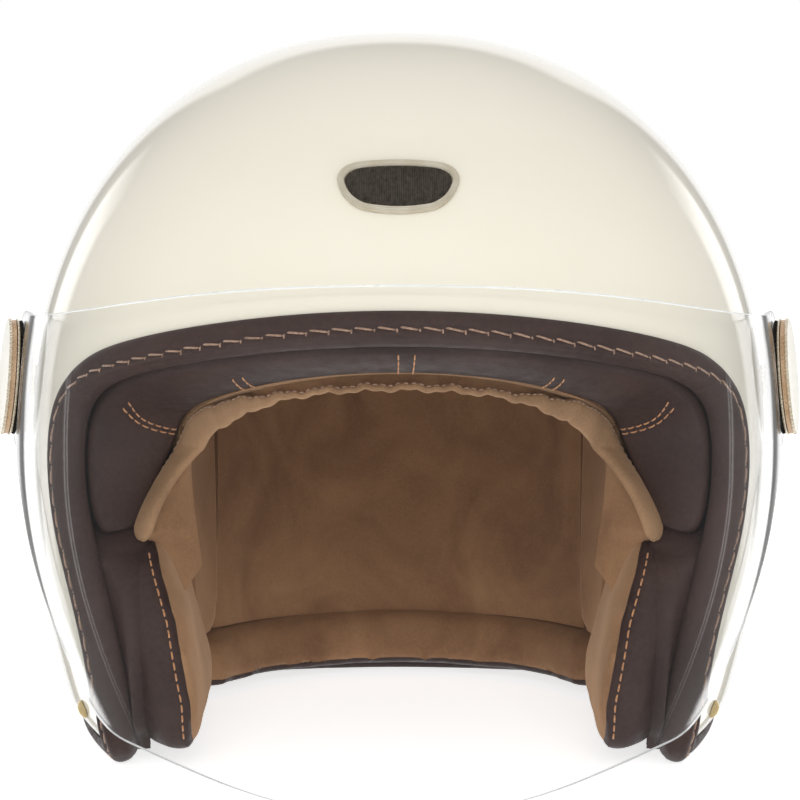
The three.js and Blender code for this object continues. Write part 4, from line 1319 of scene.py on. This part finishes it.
def cap_profile():
    r = KNOB_RADIUS
    inside = [(0.02, CAP_RIM + 0.4), (KNOB_BORE, CAP_RIM + 0.4), (KNOB_BORE, CAP_FOOT), (r - 0.6, CAP_FOOT)]
    side = [(r - 0.45, CAP_FOOT + 0.1), (r - 0.55, CAP_FOOT + 0.8), (r - 0.4, CAP_RIM - 0.5)]
    rim = [(r - 0.05, CAP_RIM - 0.2), (r, CAP_RIM), (r - 0.12, CAP_RIM + 0.2)]
    foot = CAP_RIM + 0.3
    rise = [(s, math.sqrt(1 - (0.97 * s) ** 2)) for s in np.linspace(0.995, 0.001, 22)]
    return inside + side + rim + [((r - 0.3) * s, foot + (CAP_TOP - foot) * up) for s, up in rise]


def fluted_gasket():
    steps = FLUTES * 6
    c, s = circle(steps)
    outer = 19.425 + 0.275 * np.cos(np.linspace(0, 2 * np.pi, steps, endpoint=False) * FLUTES)
    chamfered, bore = outer - 0.25, np.full(steps, KNOB_BORE)
    profile = [(chamfered, 2.5), (outer, 2.75), (outer, 3.45), (chamfered, 3.6), (bore, 3.6), (bore, 2.5)]
    rows = [np.stack([np.full(steps, x), size * c, size * s], 1) for size, x in profile]
    return np.vstack(rows), grid_faces(len(profile), steps, True, True)


def knob_pieces():
    bore, r = KNOB_BORE, KNOB_RADIUS
    washer = rounded([(6.6, -1.3), (19.3, -1.3), (19.3, -0.35), (6.6, -0.35), (6.6, -1.3)], 0.25)
    ring = rounded([(bore, 3.9), (r - 0.7, 3.9), (r, 4.4), (r - 0.25, 4.75), (bore, 4.75), (bore, 3.9)], 0.15)
    for label, sign in SIDES:
        knob = f"knob_{label}"
        for name, (vertices, faces), material, body, slot, node, sharp in (
            ("knob_washer_ring", lathe(washer), CHAMPAGNE, "visor", "knob_metal", "knob_washer", 40),
            ("knob_rubber_ring", fluted_gasket(), RUBBER, "visor", "knob_rubber", "knob_gasket", 40),
            ("knob_bevel_ring", lathe(ring), CHAMPAGNE, knob, "knob_metal", "knob_ring", 40),
            ("knob_domed_cap", lathe(cap_profile()), CAP_METALS, knob, "knob_metal", "knob_cap", 28),
        ):
            obj = piece(
                f"{name}_{label}", at_knob(vertices, sign), faces, material, body, slot,
                [f"{node}_{label}"], sharp=sharp, weld=0.000002,
            )
        origin, tip = at_knob([[0, 0, 0], [1, 0, 0]], sign)
        axis = tip - origin
        for polygon in obj.data.polygons:
            centre = np.array(polygon.center) / MM - origin
            depth = centre @ axis
            radius = np.linalg.norm(centre - axis * depth)
            # Faces below the rim take the side's copper-brown painted reflection; faces at the rim take the
            # champagne metal.
            if depth < CAP_RIM - 0.25:
                polygon.material_index = 1
            elif radius > r - 0.5:
                polygon.material_index = 2


knob_pieces()


# --- badge
def badge_outline(inset, count=160):
    half, rise = BADGE["width"] / 2 - inset, BADGE["height"] / 2 - inset
    keys = [  # the ends and the middle handles of six curves, in turn
        (-1, 0.35), (-0.98, 0.86), (-0.62, 0.95), (0, 1.05), (0.62, 0.95), (0.98, 0.86),
        (1, 0.35), (0.93, -0.5), (0.6, -0.83), (0, -1.17), (-0.6, -0.83), (-0.93, -0.5), (-1, 0.35),
    ]
    keys = np.array(keys) * (half, rise)
    line = np.vstack([bezier(keys[k : k + 3], 24)[:-1] for k in range(0, 12, 2)])
    return ring_blur(even_steps(line, count, True), 1)


BADGE_CENTRE = onto(SHELL, np.array([[0.0, -100.0, BADGE["z"]]]))[0]
BADGE_OUT = form_normal(SHELL, BADGE_CENTRE[None])[0]
BADGE_UP = unit(np.cross((1.0, 0, 0), -BADGE_OUT))
BADGE_UP = BADGE_UP if BADGE_UP[2] > 0 else -BADGE_UP


def badge_place(flat, height):
    """Puts flat (u, v) points on the shell, with their height above it."""
    flat = np.asarray(flat, float)
    start = BADGE_CENTRE + flat[..., :1] * (1.0, 0, 0) + flat[..., 1:2] * BADGE_UP - BADGE_OUT * 12
    on = cast(SHELL, start, np.broadcast_to(BADGE_OUT, start.shape), 40)
    return on + form_normal(SHELL, on) * np.asarray(height)[..., None]


BADGE_FOOT = 0.35  # the badge's underside, above the shell
RIB_PITCH = 0.68


def badge_bezel():
    outer_line, inner_line = badge_outline(0), badge_outline(BADGE["rim"])
    rows = []
    for t in np.linspace(0, np.pi, 11):
        share = (1 - math.cos(t)) / 2
        line = outer_line * (1 - share) + inner_line * share
        low = np.clip(-line[:, 1] / BADGE["height"] * 2, 0, 1)
        rows.append(badge_place(line, BADGE_FOOT + math.sin(t) ** 0.8 * (1.55 + 0.45 * low)))
    bezel = swept(np.stack(rows, 1), True)
    piece("badge_bezel_ring", *bezel, BADGE_METAL, "helmet", "badge_metal", ["badge_bezel"], sharp=50)


def badge_plate():
    edge = badge_outline(BADGE["rim"] + 0.1, 240)
    half = edge[:, 0].max()
    columns = np.linspace(-half + 0.05, half - 0.05, 340)
    upper, lower = edge[edge[:, 1] > 1.5], edge[edge[:, 1] <= 1.5]
    upper, lower = upper[np.argsort(upper[:, 0])], lower[np.argsort(lower[:, 0])]
    top = np.interp(columns, upper[:, 0], upper[:, 1])
    bottom = np.interp(columns, lower[:, 0], lower[:, 1])
    share = np.linspace(0, 1, 12)[:, None]
    high = bottom * (1 - share) + top * share
    flat = np.stack([np.broadcast_to(columns, high.shape), high], -1)
    ribs = np.zeros_like(high) + 0.97 + 0.17 * np.cos(columns * 2 * np.pi / RIB_PITCH)
    plate = sheet(badge_place(flat, ribs), badge_place(flat, np.full_like(high, BADGE_FOOT)))
    piece("badge_ribbed_plate", *plate, ENAMEL, "helmet", "badge_face", ["badge_plate"], sharp=50)


badge_bezel()
badge_plate()


# --- chin strap and its fittings
def strap_rivets():
    """A domed head on the shell and a shank in to the anchor."""
    inner_end = STRAP["plane"] - 1.3
    seat = np.array([float(side_x(SHELL, STRAP["y"], STRAP["z"])), STRAP["y"], STRAP["z"]])
    out = form_normal(SHELL, seat[None])[0]
    profile = rounded([(0.02, 0.0), (3.1, 0.05), (3.1, 0.5), (2.2, 1.35), (1.1, 1.85), (0.02, 1.95)], 0.5)
    vertices, faces = lathe(profile, 40)
    turn = Vector((1, 0, 0)).rotation_difference(Vector(out)).to_matrix()
    head = vertices @ np.array(turn).T + seat
    pin = lathe(rounded([(0.02, 0), (2, 0), (2, 1), (0.02, 1)], 0.1), 24)
    shank = pin[0] * (seat[0] - inner_end - 0.5, 1, 1) + (inner_end, STRAP["y"], STRAP["z"])
    vertices, faces = join_parts([(head, faces), (shank, pin[1])])
    for label, sign in SIDES:
        piece(
            f"strap_rivet_head_{label}", mirrored(vertices, sign), faces, BRASS, "helmet", "rivet_brass",
            [f"strap_rivet_{label}"], sharp=40,
        )


strap_rivets()


def band(path, width, wall):
    """Webbing along a path in the (x, y) plane, standing width high about the strap's height."""
    path = even_steps(smooth_line(np.array(path, float), False, 10), max(24, len(path) * 6), False)
    along = unit(np.gradient(path, axis=0))
    across = np.stack([along[:, 1], -along[:, 0]], 1)
    c, s = circle(20)
    thick, high = squared(c, 0.6) * wall / 2, squared(s, 0.25) * width / 2
    rows = np.zeros((len(path), 20, 3))
    rows[..., :2] = path[:, None] + across[:, None] * thick[None, :, None]
    rows[..., 2] = STRAP["z"] + high
    return swept(rows, False)


def box_stitches(x, y0, y1):
    """Thread lines sewn through the webbing where it is doubled."""
    half = STRAP["width"] / 2 - 3
    corners = [(y0, -half), (y1, -half), (y1, half), (y0, half)]
    lines = [*zip(corners, corners[1:] + corners[:1]), corners[::2], corners[1::2]]
    parts = []
    for (ya, za), (yb, zb) in lines:
        line = np.array([(x, ya, STRAP["z"] + za), (x, yb, STRAP["z"] + zb)])
        parts += stitches_along(line, np.array([(1.0, 0, 0), (1.0, 0, 0)]), 2.2, 0.6, 0.2)
    return parts


def straps():
    """The ring side on the left, sewn round the bars of the rings, and the folded tail side on the right."""
    wall, width = STRAP["wall"], STRAP["width"]
    middle = STRAP["plane"] + 0.35 + wall / 2
    start = STRAP["y"] + 9.5
    short = band([(middle, start), (middle, BAR_Y - 14), (middle, BAR_Y - 7)], width, wall)
    loop_x = STRAP["plane"] + 1.0
    eye = [
        (0.2, -7.5), (-3.0, -2.6), (-3.55, 0), (-2.6, 2.2), (0, 2.5),
        (2.7, 2.2), (3.55, 0), (3.0, -2.6), (0.9, -7),
    ]
    loop = band([(loop_x + x, BAR_Y + y) for x, y in eye], width, 1.1)
    fold = BAR_Y + 6
    second = middle + wall + 0.9
    tail = band(
        [(middle, start), (middle, fold - 8), (middle + 0.15, fold - 3), (middle + 1.35, fold - 1.0),
         (second - 0.15, fold - 3), (second, fold - 8), (second, start + 22)],
        width, wall,
    )
    for (label, sign), name, (vertices, faces), sewn_at in (
        (SIDES[0], "strap_ring_side", join_parts([short, loop]), middle + wall / 2),
        (SIDES[1], "strap_tail_side", tail, middle - wall / 2 - 0.1),
    ):
        body = f"strap_{label}"
        piece(name, mirrored(vertices, sign), faces, WEBBING, body, "webbing", [body], sharp=60)
        vertices, faces = join_parts(box_stitches(sewn_at, start + 1.5, start + 13))
        piece(f"{name}_stitching", mirrored(vertices, sign), faces, TAN_THREAD, body, "webbing")


straps()


def d_rings():
    half, depth, wire, bend = 11.5, 12.6, 1.25, 1.4
    upper = np.vstack([
        [(0, half - bend)],
        bezier([(0, half - bend), (0, half), (bend, half)], 6)[1:],
        bezier([(bend, half), (depth * 0.8, half), (depth, half * 0.5), (depth, 0)], 16)[1:],
    ])
    lower = upper[::-1] * (1, -1)
    line = even_steps(np.vstack([lower[-1:], upper, lower[1:-1]]), 90, True)
    for name, plane in (("inner", STRAP["plane"] - 0.4), ("outer", STRAP["plane"] + 2.4)):
        points = np.stack([np.full(len(line), plane), BAR_Y + line[:, 0], STRAP["z"] + line[:, 1]], 1)
        piece(
            f"wire_ring_{name}", *tube(points, wire, 12, closed=True), STEEL, f"ring_{name}", "steel",
            [f"d_ring_{name}"],
        )


d_rings()

# --- carried-over CAD pieces
CARRIED = {"foam_liner": FOAM}
for label, _ in SIDES:
    for node in ("pivot_spacer", "pad_snap_front", "pad_snap_rear"):
        CARRIED[f"{node}_{label}"] = NYLON
    for node in ("pivot_screw", "pivot_nut", "strap_anchor"):
        CARRIED[f"{node}_{label}"] = STEEL
for node, material in CARRIED.items():
    materials = bpy.data.objects[node].data.materials
    materials.clear()
    materials.append(material)


# --- camera, floor and light
camera = in_scene(bpy.data.objects.new("camera", bpy.data.cameras.new("camera")))
camera.data.sensor_width = 36
camera.data.lens = 123.75
camera.location = (0.0005, -0.955, 0.2016)
camera.rotation_euler = (math.pi / 2 - math.atan(250 / 2750), 0, 0)
bpy.context.scene.camera = camera

floor_mesh = bpy.data.meshes.new("floor")
floor_mesh.from_pydata([(-8, -8, 0), (8, -8, 0), (8, 8, 0), (-8, 8, 0)], [], [(0, 1, 2, 3)])
floor = in_scene(bpy.data.objects.new("floor", floor_mesh))
floor_paint = Paint("studio_floor", (0.9, 0.9, 0.9), 0.9)
floor_paint.shader.inputs["Emission Color"].default_value = (1, 1, 1, 1)
floor_paint.shader.inputs["Emission Strength"].default_value = 0.78
floor.data.materials.append(floor_paint.material)


# Reflections pass through the floor to the studio's dark lower half.
glossy_depth = floor_paint.node("LightPath").outputs["Glossy Depth"]
floor_paint.see_through(floor_paint.math("MINIMUM", glossy_depth, 1.0))


def studio_world():
    """White behind the object; gloss sees a dark front, a white backdrop and a strip light at each side."""
    bpy.context.scene.world = bpy.data.worlds.new("studio")
    world = Nodes(bpy.context.scene.world)
    axes = world.node("SeparateXYZ")
    world.link(world.node("TexCoord").outputs["Generated"], axes.inputs[0])
    turn = world.math("ARCTAN2", world.math("ABSOLUTE", axes.outputs["X"]), axes.outputs["Y"])
    turn = world.math("DIVIDE", turn, math.pi)
    height = world.math("ADD", world.math("MULTIPLY", axes.outputs["Z"], 0.5), 0.5)
    gloss = 0.0
    for panel in WORLD_GLOSS:
        grey = ([(at, (value,) * 3) for at, value in stops] for stops in panel)
        around, upright = (world.ramp(source, stops) for source, stops in zip((turn, height), grey))
        gloss = world.math("ADD", world.math("MULTIPLY", world.math("MULTIPLY", around, upright), 2.0), gloss)
    path = world.node("LightPath").outputs
    seen = world.math("MAXIMUM", path["Is Camera Ray"], path["Is Transmission Ray"])
    soft = world.math("ADD", world.math("MULTIPLY", seen, 1.0 - WORLD_SOFT), WORLD_SOFT)
    mix = world.node("Mix")
    first = world.math("MINIMUM", path["Glossy Depth"], 1.0)
    for source, socket in ((first, 0), (soft, 2), (gloss, 3)):
        world.link(source, mix.inputs[socket])
    background = world.tree.nodes["Background"]
    background.inputs["Color"].default_value = (1, 1, 1, 1)
    world.link(mix.outputs[0], background.inputs["Strength"])


WORLD_SOFT = 0.6  # the strength that soft light sees
# What gloss sees, as panels: half the brightness by the turn from straight behind (0) to straight
# in front (1), times a factor by height from straight down (0) over level (0.5) to straight up (1).
WORLD_GLOSS = [
    (
        [(0.0, 0.12), (0.3, 0.12), (0.6, 0.05), (1.0, 0.04)],
        [(0.0, 0.5), (0.5, 0.9), (0.8, 1.6), (1.0, 2.0)],
    ),
    (
        [(0.0, 0.42), (0.10, 0.42), (0.122, 0.0), (1.0, 0.0)],
        [(0.0, 0.6), (0.4, 1.0), (0.72, 1.0), (0.76, 0.0)],
    ),
    (
        [(0.155, 0.0), (0.17, 0.8), (0.228, 0.8), (0.245, 0.0)],
        [(0.1, 0.0), (0.3, 1.0), (0.62, 1.0), (0.7, 0.0)],
    ),
    (
        [(0.3590, 0.0), (0.3605, 0.9), (0.3635, 0.9), (0.3650, 0.0)],
        [(0.3, 0.0), (0.4, 1.0), (0.51, 1.0), (0.53, 0.0)],
    ),
]
studio_world()


def softbox(name, location, target, size, power):
    """A lamp for soft light only: what gloss sees is the world's own strips."""
    lamp = bpy.data.lights.new(name, "AREA")
    lamp.shape = "RECTANGLE"
    lamp.size, lamp.size_y = size
    lamp.energy = power
    obj = in_scene(bpy.data.objects.new(name, lamp))
    obj.location = location
    obj.visible_glossy = obj.visible_transmission = False
    obj.rotation_euler = (Vector(target) - obj.location).to_track_quat("-Z", "Y").to_euler()


softbox("front_fill", (0, -2.2, 1.0), (0, 0, 0.12), (1.6, 1.0), 22)
softbox("top_back", (0, 0.9, 1.8), (0, 0, 0.15), (1.6, 0.8), 8)

bpy.context.scene.view_settings.view_transform = "Standard"
